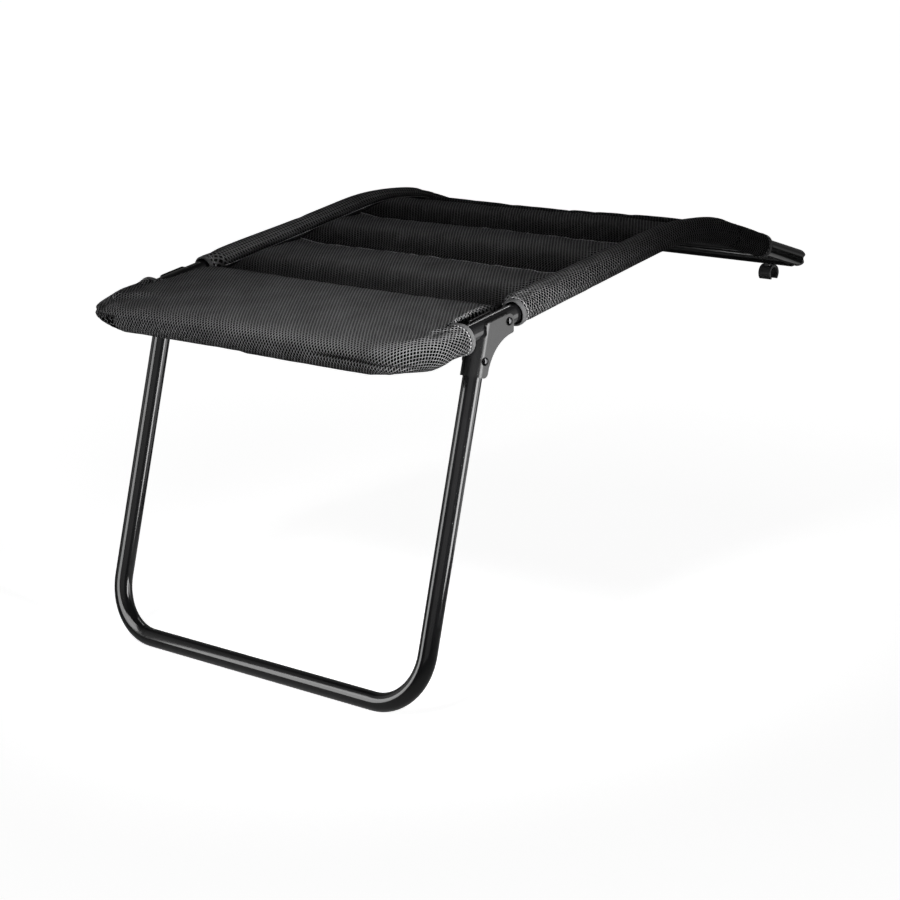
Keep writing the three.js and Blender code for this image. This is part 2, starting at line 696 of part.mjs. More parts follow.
// Padded sleeves: snug hems at both mouths, fuller towards the panel
const sleeveStartY = pivotY + sleeveStartSetback;
const sleeveEndY = railEndY - sleeveEndInset;
const sleeveRadius = tubeRadius + sleevePadding;
const sleeveUnderRadius = tubeRadius + sleeveUnderPadding;
const sleeveInnerRadius = tubeRadius + sleeveInnerPadding;
const sleeveHemRadius = tubeRadius + sleeveHemPadding;

function makeSleeve(sign) {
  const places = [sleeveStartY, sleeveStartY + sleeveHemLength, sleeveStartY + 3 * sleeveHemLength];
  const straightStep = (crestStartY - places[2]) / sleeveSteps;
  for (let i = 1; i <= sleeveSteps; i++) places.push(places[2] + i * straightStep);
  for (let i = 1; i <= crestSteps; i++) {
    const angle = railRiseAngle - ((railRiseAngle + railFallAngle) * i) / crestSteps;
    places.push(crestCentreY - crestRadius * Math.sin(angle * degree));
  }
  const rearHem = sleeveEndY - sleeveHemLength;
  places.push((crestEndY + rearHem) / 2, rearHem - 2 * sleeveHemLength, rearHem, sleeveEndY);
  const route = places.map((y) => {
    const angle = railAngle(y);
    return {
      point: new THREE.Vector3(sign * halfSpacing, y, railHeight(y)),
      along: new THREE.Vector3(0, Math.cos(angle), Math.sin(angle)),
    };
  });
  const hemAt = (y) => {
    const taper = 2 * sleeveHemLength;
    return ease(sleeveStartY, sleeveStartY + taper, y) * ease(sleeveEndY, sleeveEndY - taper, y);
  };
  const fullAt = (y) => 1 - ease(crestStartY - crestSetback, crestStartY + crestSetback, y);
  const radiusAt = (angle, index) => {
    const y = places[index];
    const inward = -sign * Math.cos(angle); // 1 towards the panel
    const upward = Math.sin(angle);
    let radius = sleeveRadius + (sleeveInnerRadius - sleeveRadius) * Math.max(0, inward);
    radius += (sleeveUnderRadius - sleeveRadius) * Math.max(0, -upward);
    const quarter = Math.max(0, inward) * Math.max(0, upward) * 2;
    radius += sleeveFullness * quarter * fullAt(y);
    return sleeveHemRadius + (radius - sleeveHemRadius) * hemAt(y);
  };
  const sideways = () => xAxis.clone();
  const outer = loopsAlong(route, tubeSides, radiusAt, sideways);
  const boreFacet = (tubeRadius + sleeveBoreClearance) / Math.cos(Math.PI / tubeSides);
  const inner = loopsAlong(route, tubeSides, () => boreFacet, sideways);
  return pipe(outer, inner);
}
for (const { name, sign } of sides) addPiece(name + "_rail_sleeve", makeSleeve(sign), "meshFabric");

// Quilted panel: crowned channels between cross seams, drawn down to the sleeves at its sides
const panelHalf = halfSpacing - sleeveInnerRadius - seatGap;
const seamY = pivotY + pillowSeamSetback;
const panelStartY = seamY + seatGap;
const panelEndY = railEndY - panelEndInset;
const panelSeamPitch = (panelEndY - panelHem - panelFirstChannel - panelStartY) / (panelChannels - 1);

// A closed pad between an upper and a lower grid of points
function pad(upper, lower) {
  const skin = new Skin();
  const rows = upper.length - 1;
  const columns = upper[0].length - 1;
  for (let i = 0; i < rows; i++) {
    for (let j = 0; j < columns; j++) {
      skin.quad(upper[i][j], upper[i][j + 1], upper[i + 1][j + 1], upper[i + 1][j]);
      skin.quad(lower[i][j], lower[i + 1][j], lower[i + 1][j + 1], lower[i][j + 1]);
    }
    skin.quad(upper[i][0], upper[i + 1][0], lower[i + 1][0], lower[i][0]);
    skin.quad(upper[i][columns], lower[i][columns], lower[i + 1][columns], upper[i + 1][columns]);
  }
  for (let j = 0; j < columns; j++) {
    skin.quad(upper[0][j], lower[0][j], lower[0][j + 1], upper[0][j + 1]);
    skin.quad(upper[rows][j], upper[rows][j + 1], lower[rows][j + 1], lower[rows][j]);
  }
  return skin.geometry();
}

function makePanel() {
  const roundnessShare = 0.6; // lower makes the channels squarer
  const places = [];
  let from = panelStartY;
  for (let channel = 0; channel < panelChannels; channel++) {
    const to = panelStartY + panelFirstChannel + channel * panelSeamPitch;
    for (let i = 0; i < channelSteps; i++) {
      const share = (1 - Math.cos((Math.PI * i) / channelSteps)) / 2;
      places.push({ y: from + (to - from) * share, swell: Math.sin(Math.PI * share) ** roundnessShare });
    }
    from = to;
  }
  places.push({ y: from, swell: 0 }, { y: from + panelHem, swell: 0 });
  const columnShares = [-1, -0.975, -0.93, -0.86, -0.7, -0.45, -0.15, 0.15, 0.45, 0.7, 0.86, 0.93, 0.975, 1];
  const grid = (offset) =>
    places.map(({ y, swell }) => {
      const angle = railAngle(y);
      return columnShares.map((share) => {
        const x = share * panelHalf;
        const side = Math.min(1, (panelHalf - Math.abs(x)) / panelEdgeRun);
        const rise = offset(swell * Math.sqrt(1 - (1 - side) ** 2));
        return new THREE.Vector3(x, y - rise * Math.sin(angle), railHeight(y) + rise * Math.cos(angle));
      });
    });
  const upper = grid((swell) => panelSeamTop + panelCrownTop * swell);
  const lower = grid((swell) => panelSeamTop - panelSeamThickness - panelCrownUnder * swell);
  return pad(upper, lower);
}
addPiece("quilted_panel", makePanel(), "meshFabric");

// Foot pillow: wraps the foot-end bar and corners, notched beside the brackets, sewn flat to the panel
const pillowRadius = tubeRadius + pillowPadding;
const pillowUnderRadius = tubeRadius + pillowUnderPadding;
const pillowHalf = halfSpacing + pillowRadius;
const neckHalf = halfSpacing - pillowNeckInset;
const mouthY = pivotY - pillowMouthSetback;
const noseY = footEndY - pillowRadius;
const cornerRadius = footBendRadius + pillowRadius;

function pillowFront(x) {
  const past = Math.abs(x) - (pillowHalf - cornerRadius);
  if (past <= 0) return noseY;
  const round = cornerRadius - Math.sqrt(Math.max(0, cornerRadius ** 2 - past ** 2));
  const tuck = pillowCornerTuck * Math.sin(Math.min(1, past / cornerRadius) * Math.PI) ** 2;
  return noseY + round - tuck;
}

function pillowBack(x) {
  const past = Math.abs(x) - neckHalf;
  if (past <= 0) return seamY;
  const share = Math.min(1, past / notchCorner);
  return mouthY + (seamY - mouthY) * (1 - Math.sqrt(1 - (1 - share) ** 2)) * (1 - share);
}

function makePillow() {
  const middleShares = [0.2, 0.45, 0.66, 0.76];
  const notchShares = [-1 / 2, -1 / 6, 0, 0.12, 0.35, 0.65, 1];
  const outerShares = [0.45, 0.8, 0.97];
  const across = [
    ...middleShares.map((share) => share * pillowHalf),
    ...notchShares.map((share) => neckHalf + share * notchCorner),
    ...outerShares.map((share) => halfSpacing + share * pillowRadius),
  ];
  const stations = [...across.map((x) => -x).reverse(), ...across];
  const lengthShares = [0, 0.012, 0.045, 0.1, 0.19, 0.35, 0.55, 0.75, 0.88, 0.96, 1];
  const halfThickness = (x, y, front) => {
    const fromNose = Math.min(1, Math.max(0, (y - front) / pillowRadius));
    const fromSide = Math.min(1, Math.max(0, (pillowHalf - Math.abs(x)) / pillowRadius));
    const round = Math.sqrt(1 - (1 - fromNose) ** 2) * Math.sqrt(1 - (1 - fromSide) ** 2);
    const towardsSeam = Math.min(1, Math.max(0, (y - footEndY) / (seamY - footEndY)));
    const drawn = pillowSeamHalf + (pillowRadius - pillowSeamHalf) * Math.sqrt(1 - towardsSeam ** 3);
    const middle = 1 - Math.min(1, Math.abs(x) / neckHalf) ** 2;
    const crown = pillowCrown * middle * Math.sin(Math.PI * Math.sqrt(towardsSeam));
    return Math.max(pillowSeamHalf / 4, (drawn + crown) * round);
  };
  const underShare = (x, y) => {
    const corner = ease(halfSpacing - footBendRadius, halfSpacing, Math.abs(x));
    const pastBend = ease(footEndY + footBendRadius / 2, footEndY + footBendRadius, y);
    const change = pillowMouthDroop * pastBend - pillowCornerPinch * (1 - pastBend);
    return (pillowUnderRadius + corner * change) / pillowRadius;
  };
  const grid = (isTop) =>
    stations.map((x) => {
      const front = pillowFront(x);
      const back = pillowBack(x);
      return lengthShares.map((share) => {
        const y = front + (back - front) * share;
        const half = halfThickness(x, y, front);
        const rise = isTop ? half : -half * underShare(x, y);
        return new THREE.Vector3(x, y, railHeight(y) + rise);
      });
    });
  const cushion = solidOf(pad(grid(true), grid(false)));
  const channelRadius = (tubeRadius + sleeveBoreClearance) / Math.cos(Math.PI / pillowBoreSides);
  const channelEndY = seamY + overrun;
  const route = bentRoute(
    [
      new THREE.Vector3(-halfSpacing, channelEndY, railHeight(channelEndY)),
      footCorner(-1),
      footCorner(1),
      new THREE.Vector3(halfSpacing, channelEndY, railHeight(channelEndY)),
    ],
    [footBendRadius, footBendRadius],
    [cornerSteps, cornerSteps],
  );
  const channel = pipe(loopsAlong(route, pillowBoreSides, () => channelRadius, frameSideways));
  return geometryOf(cushion.subtract(solidOf(channel)));
}
addPiece("foot_pillow", makePillow(), "meshFabric");

// The origin is the middle of the footprint, on the ground
const extent = new THREE.Box3().setFromObject(legRest);
const middle = extent.getCenter(new THREE.Vector3());
legRest.position.set(-middle.x, -middle.y, -extent.min.z);
legRest.updateMatrixWorld(true);

const model = new THREE.Group();
model.add(legRest);

export default model;
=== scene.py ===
from math import atan2, cos, hypot, pi, radians, sin, sqrt, tan

import bmesh
import bpy
import numpy as np
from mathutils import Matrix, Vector, noise
from mathutils.bvhtree import BVHTree


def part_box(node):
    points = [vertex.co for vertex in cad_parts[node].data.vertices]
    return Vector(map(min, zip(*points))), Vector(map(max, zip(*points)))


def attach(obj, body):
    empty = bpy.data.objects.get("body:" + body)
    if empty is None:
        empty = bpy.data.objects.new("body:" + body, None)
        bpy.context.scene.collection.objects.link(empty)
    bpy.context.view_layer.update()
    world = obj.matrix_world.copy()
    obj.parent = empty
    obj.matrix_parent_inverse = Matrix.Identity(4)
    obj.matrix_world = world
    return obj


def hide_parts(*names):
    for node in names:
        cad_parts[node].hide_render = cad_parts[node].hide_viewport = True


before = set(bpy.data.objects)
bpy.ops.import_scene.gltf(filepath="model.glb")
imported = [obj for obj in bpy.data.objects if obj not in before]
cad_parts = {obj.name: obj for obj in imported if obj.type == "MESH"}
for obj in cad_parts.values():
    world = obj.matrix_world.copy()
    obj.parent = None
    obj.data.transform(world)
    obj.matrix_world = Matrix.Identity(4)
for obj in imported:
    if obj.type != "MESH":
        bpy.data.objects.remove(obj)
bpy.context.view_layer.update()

scene = bpy.context.scene

# Camera
# It stands to the right of the foot end, a little above the cover and 2.7 m away.
# The long lens keeps the rails nearly parallel, as in the picture.
camera_place = (1.7295, -2.0646, 0.8229)
camera_azimuth = 40.20
camera_elevation = 13.25


def direction(azimuth, elevation):
    """The way out from the object, by degrees round from the foot end's front and degrees up."""
    around, above = radians(azimuth), radians(elevation)
    return Vector((sin(around) * cos(above), -cos(around) * cos(above), sin(above)))


def in_scene(name, data):
    made = bpy.data.objects.new(name, data)
    scene.collection.objects.link(made)
    return made


camera = in_scene("camera", bpy.data.cameras.new("camera"))
camera.location = camera_place
camera.rotation_euler = (-direction(camera_azimuth, camera_elevation)).to_track_quat("-Z", "Y").to_euler()
camera.data.lens = 96
camera.data.sensor_width = 36
camera.data.clip_end = 60
scene.camera = camera
scene.view_settings.view_transform = "Standard"


# Studio light
# Four soft spots light the cover from the right, from above and at the left corner's pleats.
# Tall soft boxes near the legs draw the light stripes on the lacquered tubes and light nothing else.
def turn_lamp(name, lamp, place, target):
    lit = in_scene(name, lamp)
    lit.location = place
    lit.rotation_euler = (Vector(target) - Vector(place)).to_track_quat("-Z", "Y").to_euler()
    lit.visible_camera = False
    return lit


def soft_box(name, place, target, width, tall, radiance):
    """A glowing rectangle that only shows in glossy reflections."""
    lamp = bpy.data.lights.new(name, "AREA")
    lamp.shape = "RECTANGLE"
    lamp.size = width
    lamp.size_y = tall
    lamp.energy = radiance * pi * width * tall
    turn_lamp(name, lamp, place, target).visible_diffuse = False


soft_box("left_low_box", (-0.51, -1.04, 0.27), (0, -0.30, 0.27), width=0.46, tall=0.54, radiance=4.3)
soft_box("left_high_box", (-0.51, -1.04, 0.95), (0, -0.30, 0.75), width=0.46, tall=0.80, radiance=4.3)
soft_box("right_box", (0.80, -0.02, 0.62), (0, -0.25, 0.62), width=0.27, tall=1.24, radiance=9.0)
soft_box("rear_right_box", (0.95, 0.62, 0.27), (0.24, -0.22, 0.3), width=0.70, tall=0.54, radiance=2.2)
soft_box("floor_box", (0.60, 0.45, 0.004), (0.60, 0.45, 1.0), width=1.0, tall=0.5, radiance=0.5)
soft_box("far_floor_box", (-1.0, 1.62, 0.004), (-1.0, 1.62, 1.0), width=1.3, tall=0.3, radiance=1.2)
soft_box("ceiling_strip", (-0.25, 0.9, 1.35), (0.1, -0.25, 0.4), width=1.6, tall=0.10, radiance=5.0)


def aimed_spot(name, azimuth, elevation, distance, target, size, energy, soft):
    """A soft spot that no reflection shows."""
    lamp = bpy.data.lights.new(name, "SPOT")
    lamp.energy = energy
    lamp.spot_size = radians(size)
    lamp.spot_blend = 1
    lamp.shadow_soft_size = soft
    place = Vector(target) + direction(azimuth, elevation) * distance
    turn_lamp(name, lamp, place, target).visible_glossy = False


aimed_spot("corner_spot", 82, -3, 1.3, (0.235, -0.35, 0.37), size=30, energy=205, soft=0.08)
aimed_spot("cover_spot", 15, 40, 1.4, (0.11, -0.40, 0.36), size=30, energy=94, soft=0.2)
aimed_spot("ear_spot", -70, -14, 1.3, (-0.236, -0.338, 0.352), size=10, energy=210, soft=0.06)
aimed_spot("side_spot", 85, 3, 1.5, (0.24, -0.33, 0.385), size=34, energy=44, soft=0.1)

# Backdrop
# White where the camera looks. In reflections the room is dark, with grey walls between black flags
# and a ceiling that darkens overhead.
world = bpy.data.worlds.new("studio")
scene.world = world
world.use_nodes = True
world.node_tree.nodes.clear()


def add_node(owner, kind, links=(), **settings):
    """A node in a world, a material or a bare node tree. links pairs an input with what feeds it.
    settings are the node's own properties, or its inputs with _ for a space."""
    tree = getattr(owner, "node_tree", owner)
    node = tree.nodes.new(kind)
    for key, value in settings.items():
        if hasattr(node, key):
            setattr(node, key, value)
        else:
            node.inputs[key.replace("_", " ")].default_value = value
    for socket, source in links:
        tree.links.new(source, node.inputs[socket])
    return node


def calculate(owner, operation, *values):
    """A Math node on sockets or numbers, returning its output."""
    node = add_node(owner, "ShaderNodeMath", operation=operation)
    for socket, value in zip(node.inputs, values):
        if isinstance(value, (int, float)):
            socket.default_value = value
        else:
            owner.node_tree.links.new(value, socket)
    return node.outputs[0]


white = (1, 1, 1, 1)
room = add_node(world, "ShaderNodeBackground", Color=white, Strength=0.035)
backdrop = add_node(world, "ShaderNodeBackground", Color=white)
view = add_node(world, "ShaderNodeTexCoord").outputs["Generated"]
heading = add_node(world, "ShaderNodeSeparateXYZ", [("Vector", view)]).outputs
azimuth = calculate(world, "ARCTAN2", heading["X"], calculate(world, "MULTIPLY", heading["Y"], -1))
around = add_node(world, "ShaderNodeMapRange", [("Value", azimuth)], From_Min=-pi, From_Max=pi)
walls = add_node(world, "ShaderNodeValToRGB", [("Fac", around.outputs[0])])
wall_stops = (
    (-180, 0.10), (-95, 0.10), (-86, 0.45), (-50, 0.45), (-43, 0.03), (0, 0.03), (9, 0.30),
    (54, 0.30), (62, 0.015), (100, 0.015), (116, 0.40), (150, 0.40), (165, 0.10),
)
while len(walls.color_ramp.elements) < len(wall_stops):
    walls.color_ramp.elements.new(1.0)
for stop, (degrees_round, grey) in zip(walls.color_ramp.elements, wall_stops):
    stop.position = (degrees_round + 180) / 360
    stop.color = (grey, grey, grey, 1)
ceiling = add_node(
    world, "ShaderNodeMapRange", [("Value", heading["Z"])],
    From_Min=0.4, From_Max=0.9, To_Min=1.0, To_Max=0.12,
)
gloss_view = add_node(
    world, "ShaderNodeBackground", [("Color", walls.outputs["Color"]), ("Strength", ceiling.outputs[0])]
)
ray = add_node(world, "ShaderNodeLightPath").outputs
pick_gloss = add_node(
    world, "ShaderNodeMixShader",
    [("Fac", ray["Is Glossy Ray"]), (1, room.outputs[0]), (2, gloss_view.outputs[0])],
)
seen = calculate(world, "MAXIMUM", ray["Is Camera Ray"], ray["Is Transmission Ray"])
pick_white = add_node(
    world, "ShaderNodeMixShader", [("Fac", seen), (1, pick_gloss.outputs[0]), (2, backdrop.outputs[0])]
)
add_node(world, "ShaderNodeOutputWorld", [("Surface", pick_white.outputs[0])])

# Floor
# A plain pale floor under the leg's foot. It catches the shadow and glows nearly white to the camera,
# so that it fades into the backdrop.
floor_half = 14
floor_mesh = bpy.data.meshes.new("floor")
floor_corners = [(x * floor_half, y * floor_half, 0) for x, y in ((-1, -1), (1, -1), (1, 1), (-1, 1))]
floor_mesh.from_pydata(floor_corners, [], [(0, 1, 2, 3)])
floor = in_scene("floor", floor_mesh)
floor_paint = bpy.data.materials.new("pale_floor")
floor_paint.use_nodes = True
floor_paint.node_tree.nodes.clear()
pale = add_node(floor_paint, "ShaderNodeBsdfDiffuse", Color=(0.62, 0.62, 0.62, 1))
floor_place = add_node(floor_paint, "ShaderNodeTexCoord").outputs["Object"]
from_middle = add_node(floor_paint, "ShaderNodeVectorMath", [(0, floor_place)], operation="LENGTH")
whiteness = add_node(
    floor_paint, "ShaderNodeMapRange", [("Value", from_middle.outputs["Value"])],
    From_Min=0.6, From_Max=1.6, To_Min=0.94, To_Max=1.0,
)
floor_ray = add_node(floor_paint, "ShaderNodeLightPath").outputs["Is Camera Ray"]
glow_share = calculate(floor_paint, "MULTIPLY", floor_ray, whiteness.outputs[0])
glow = add_node(floor_paint, "ShaderNodeEmission", [("Strength", glow_share)])
both = add_node(floor_paint, "ShaderNodeAddShader", [(0, pale.outputs[0]), (1, glow.outputs[0])])
add_node(floor_paint, "ShaderNodeOutputMaterial", [("Surface", both.outputs[0])])
floor_mesh.materials.append(floor_paint)

# Frame tube
# One 20 mm steel tube with a 1.2 mm wall: two rails and the foot-end bar, bent in one piece.
# It is lacquered gloss black, and the cross bar at the chair end is welded between its rails.
tube_radius = 0.010
tube_wall = 0.0012
tube_flat = tube_radius * cos(pi / 20)
half_spacing = 0.225
foot_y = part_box("frame_tube")[0].y + tube_flat
foot_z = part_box("frame_tube")[0].z + tube_flat
foot_bend = 0.048
rise = radians(10.3)
fall = radians(16.1)
crest_radius = 0.340
crest_distance = 0.481
rear_distance = 0.227
crest_setback = crest_radius * tan((rise + fall) / 2)
crest_start = crest_distance / cos(rise) - crest_setback
crest_end = crest_start + crest_radius * (rise + fall)
rail_end = crest_end + rear_distance / cos(fall) - crest_setback
x_axis = Vector((1, 0, 0))


def rail_at(along):
    """Place (y, z) and slope of the rails' centre line, by the distance along it from the foot-end bar."""
    straight = min(along, crest_start)
    y = foot_y + straight * cos(rise)
    z = foot_z + straight * sin(rise)
    slope = rise
    if along > crest_start:
        slope = rise - (min(along, crest_end) - crest_start) / crest_radius
        y += crest_radius * (sin(rise) - sin(slope))
        z += crest_radius * (cos(slope) - cos(rise))
    if along > crest_end:
        y += (along - crest_end) * cos(fall)
        z -= (along - crest_end) * sin(fall)
    return y, z, slope


def rail_axes(along):
    """The ways ahead and square above at a distance along the rails' line."""
    _, _, slope = rail_at(along)
    return Vector((0, cos(slope), sin(slope))), Vector((0, -sin(slope), cos(slope)))


def on_rail(x, along, above):
    """The point at x, at a distance along the rails' line and square above it."""
    y, z, slope = rail_at(along)
    return Vector((x, y - above * sin(slope), z + above * cos(slope)))


def ring(centre, side, up, radius, count):
    """A circle of points, starting at side and turning towards up."""
    turns = [2 * pi * i / count for i in range(count)]
    return [centre + side * (radius * cos(t)) + up * (radius * sin(t)) for t in turns]


def skin(name, rings, joined=False, capped=False, flat=None, sharp=35):
    """A mesh over rings of points. flat gives each point's place on the unrolled cloth."""
    rows = len(rings)
    count = len(rings[0])
    points = [p for r in rings for p in r]
    faces = []
    corners = []
    for i in range(rows if joined else rows - 1):
        for j in range(count):
            k = (j + 1) % count
            n = (i + 1) % rows
            faces.append((i * count + j, i * count + k, n * count + k, n * count + j))
            corners.append(((i, j), (i, j + 1), (i + 1, j + 1), (i + 1, j)))
    if capped:
        faces.append(tuple(range(count - 1, -1, -1)))
        faces.append(tuple((rows - 1) * count + j for j in range(count)))
    mesh = bpy.data.meshes.new(name)
    mesh.from_pydata(points, [], faces)
    if flat:
        layer = mesh.uv_layers.new(name="cloth")
        for face, uv in zip(mesh.polygons, corners):
            for loop, (i, j) in zip(face.loop_indices, uv):
                layer.data[loop].uv = flat[i][j]
    turned = bmesh.new()
    turned.from_mesh(mesh)
    bmesh.ops.recalc_face_normals(turned, faces=turned.faces)
    turned.to_mesh(mesh)
    turned.free()
    mesh.shade_smooth()
    mesh.set_sharp_from_angle(angle=radians(sharp))
    return in_scene(name, mesh)


def material(name, **settings):
    """A new Principled material. Settings are its sockets, with _ for a space."""
    made = bpy.data.materials.new(name)
    made.use_nodes = True
    shader = made.node_tree.nodes["Principled BSDF"]
    for socket, value in settings.items():
        shader.inputs[socket.replace("_", " ")].default_value = value
    return made


def connect(made, source, socket):
    made.node_tree.links.new(source, made.node_tree.nodes["Principled BSDF"].inputs[socket])


def tint(made, share, dark, light):
    """Base colour between two greys, by a share from 0 to 1."""
    mix = add_node(made, "ShaderNodeMix", [("Factor", share)], data_type="RGBA")
    mix.inputs[6].default_value = (*dark, 1)
    mix.inputs[7].default_value = (*light, 1)
    connect(made, mix.outputs[2], "Base Color")


def cloud(made, scale, detail, place=None):
    """Noise as a share from 0 to 1, through the piece's own space or over a given place."""
    if place is None:
        place = add_node(made, "ShaderNodeTexCoord").outputs["Object"]
    texture = add_node(made, "ShaderNodeTexNoise", [("Vector", place)], Scale=scale, Detail=detail)
    return texture.outputs["Fac"]


def grain(made, height, strength, distance):
    """Raises and sinks the surface by a share."""
    bump = add_node(made, "ShaderNodeBump", [("Height", height)], Strength=strength, Distance=distance)
    connect(made, bump.outputs[0], "Normal")


def haze(made, share, least, most):
    """Roughness between two values, by a share from 0 to 1."""
    spread = add_node(made, "ShaderNodeMapRange", [("Value", share)], To_Min=least, To_Max=most)
    connect(made, spread.outputs[0], "Roughness")


lacquer = material("gloss_black_lacquer", Coat_Weight=0.3, Coat_Roughness=0.05)
tint(lacquer, cloud(lacquer, 35.0, 3.0), (0.004, 0.004, 0.0043), (0.008, 0.008, 0.0085))
grain(lacquer, cloud(lacquer, 620.0, 1.0), strength=0.05, distance=0.0004)
haze(lacquer, cloud(lacquer, 260.0, 4.0), 0.08, 0.19)

tube_sides = 48
bend_steps = 16
straight_ring = 0.25


def tube_rings(places, radius, trim=None):
    """Rings round a tube. places are (centre, side, up); trim moves the end rings' points along."""
    rings = [ring(c, s, u, radius, tube_sides) for c, s, u in places]
    if trim:
        rings[0] = [trim(p) for p in rings[0]]
        rings[-1] = [trim(p) for p in rings[-1]]
    return rings


def with_mirror(places):
    """The right half's places, followed back along the left half by their mirror images."""
    mirrored = []
    for centre, side, normal in reversed(places):
        mirrored.append((Vector((-centre.x, *centre.yz)), Vector((-side.x, *side.yz)), normal))
    return places + mirrored


def frame_places():
    """Centre, side and up along the frame tube, from the right rail's end to the left one's."""
    places = []
    after_crest = np.linspace(rail_end, crest_end, 3)[:-1]
    for along in (*after_crest, *np.linspace(crest_end, crest_start, 13), straight_ring):
        places.append((on_rail(half_spacing, float(along), 0), x_axis, rail_axes(float(along))[1]))
    ahead, up = rail_axes(0)
    for step in range(bend_steps + 1):
        turn = pi / 2 * step / bend_steps
        centre = on_rail(half_spacing - foot_bend * (1 - cos(turn)), foot_bend * (1 - sin(turn)), 0)
        places.append((centre, x_axis * cos(turn) - ahead * sin(turn), up))
    return with_mirror(places)


saddle_reach = 0.0075
flange_radius = 0.0185
end_point = on_rail(0, rail_end, 0)
past_end = Vector((0, cos(fall), -sin(fall)))
end_up = Vector((0, sin(fall), cos(fall)))


def tube_end(p):
    """Moves a point along the rail to where the tube ends, inside the cap's lip."""
    above = (p - end_point).dot(end_up)
    wanted = saddle_reach - sqrt(flange_radius ** 2 - above ** 2)
    return p + past_end * (wanted - (p - end_point).dot(past_end))


places = frame_places()
outer = tube_rings(places, tube_radius, tube_end)
inner = tube_rings(places, tube_radius - tube_wall, tube_end)
frame_tube = skin("bent_frame_tube", outer + inner[::-1], joined=True)
frame_tube.data.materials.append(lacquer)
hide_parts("frame_tube")
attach(frame_tube, "frame")

# Cross bar
# A straight length of the same tube under the rails' ends, coped to them and welded all round.
# Each weld is a thin rippled bead under the lacquer.
bar_low, bar_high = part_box("chair_end_cross_bar")
bar_y = (bar_low.y + bar_high.y) / 2
bar_z = (bar_low.z + bar_high.z) / 2
bar_half = 0.2215
weld_gap = 0.0003


def bar_ring(x, radius, count):
    return ring(Vector((x, bar_y, bar_z)), Vector((0, -1, 0)), Vector((0, 0, 1)), radius, count)


def cope(point, sign, radius):
    """Moves a point of the bar sideways onto a rail's surface."""
    above = (point - end_point).dot(end_up)
    reach = half_spacing - sqrt(max(0.0, radius ** 2 - above ** 2)) if abs(above) < radius else half_spacing
    return Vector((sign * min(reach, bar_half), point.y, point.z))


def bar_rings(radius):
    base = bar_ring(0, radius, tube_sides)
    left = [cope(p, -1, tube_radius + weld_gap) for p in base]
    right = [cope(p, 1, tube_radius + weld_gap) for p in base]
    return [left, *(bar_ring(x, radius, tube_sides) for x in (-0.1, 0.1)), right]


bar_inside = bar_rings(tube_radius - tube_wall)
cross_bar = skin("cross_bar", bar_rings(tube_radius) + bar_inside[::-1], joined=True)
cross_bar.data.materials.append(lacquer)
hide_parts("chair_end_cross_bar")
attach(cross_bar, "frame")


def weld_bead(sign):
    """A rippled bead where the bar meets a rail."""
    count = 72
    whole = bar_ring(0, tube_radius, count)
    first = count * 3 // 4
    from_top = whole[first:] + whole[:first]
    touching = [p for p in from_top if (p - end_point).dot(end_up) > -tube_radius * 0.99]
    path = [cope(p, sign, tube_radius) for p in touching]
    rings = []
    for i, p in enumerate(path):
        along = (path[min(i + 1, len(path) - 1)] - path[max(i - 1, 0)]).normalized()
        out = Vector((0, p.y - bar_y, p.z - bar_z)).normalized()
        across = along.cross(out).normalized()
        radius = 0.0013 + 0.00022 * sin(i * 2.1) + 0.0002 * noise.noise(p * 400)
        rings.append(ring(p - Vector((sign * 0.0006, 0, 0)), out, across, radius, 10))
    return skin("weld_right" if sign > 0 else "weld_left", rings, capped=True, sharp=80)


for sign in (-1, 1):
    bead = weld_bead(sign)
    bead.data.materials.append(lacquer)
    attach(bead, "frame")

# End caps
# Moulded plastic plugs in the rails' ends, each with a hollow saddle face for the chair's tube.
# A spigot holds them in the tube.
plastic = material("moulded_plastic", Roughness=0.5)
tint(plastic, cloud(plastic, 90.0, 3.0), (0.018, 0.018, 0.019), (0.030, 0.030, 0.031))
grain(plastic, cloud(plastic, 1500.0, 2.0), strength=0.25, distance=0.0002)

cap_lip = 0.0055
lip_back = 0.0048
cap_hollow = 0.0098
lip_round = 0.0020
spigot_radius = 0.0085


def cap_face(p, back):
    """Moves a point along the rail to the cap's end, hollowed between two rounded lips."""
    above = (p - end_point).dot(end_up)
    if abs(above) < cap_lip:
        wanted = -lip_back - (cap_hollow - lip_back) * (1 + cos(pi * above / cap_lip)) / 2
    else:
        wanted = -lip_back - lip_round * ((abs(above) - cap_lip) / (tube_radius - cap_lip)) ** 2
    return p + past_end * (wanted - back - (p - end_point).dot(past_end))


for name, sign in (("left", -1), ("right", 1)):
    centre = end_point + Vector((sign * half_spacing, 0, 0))
    cap_rings = []
    for radius, back in ((spigot_radius - 0.0002, 0.0235), (spigot_radius, 0.0225)):
        loop = ring(centre, x_axis, end_up, radius, tube_sides)
        cap_rings.append([p + past_end * (-back - (p - end_point).dot(past_end)) for p in loop])
    for radius in (spigot_radius, tube_radius):
        loop = ring(centre, x_axis, end_up, radius, tube_sides)
        cap_rings.append([tube_end(p) + past_end * 0.0003 for p in loop])
    for radius in (tube_radius, tube_radius - 0.0006, 0.0075, 0.0055, 0.0035, 0.0015):
        loop = ring(centre, x_axis, end_up, radius, tube_sides)
        cap_rings.append([cap_face(p, 0.0005 if radius == tube_radius else 0.0) for p in loop])
    cap = skin(name + "_end_cap", cap_rings, capped=True, sharp=50)
    cap.data.materials.append(plastic)
    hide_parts(name + "_rail_end_cap")
    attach(cap, "frame")


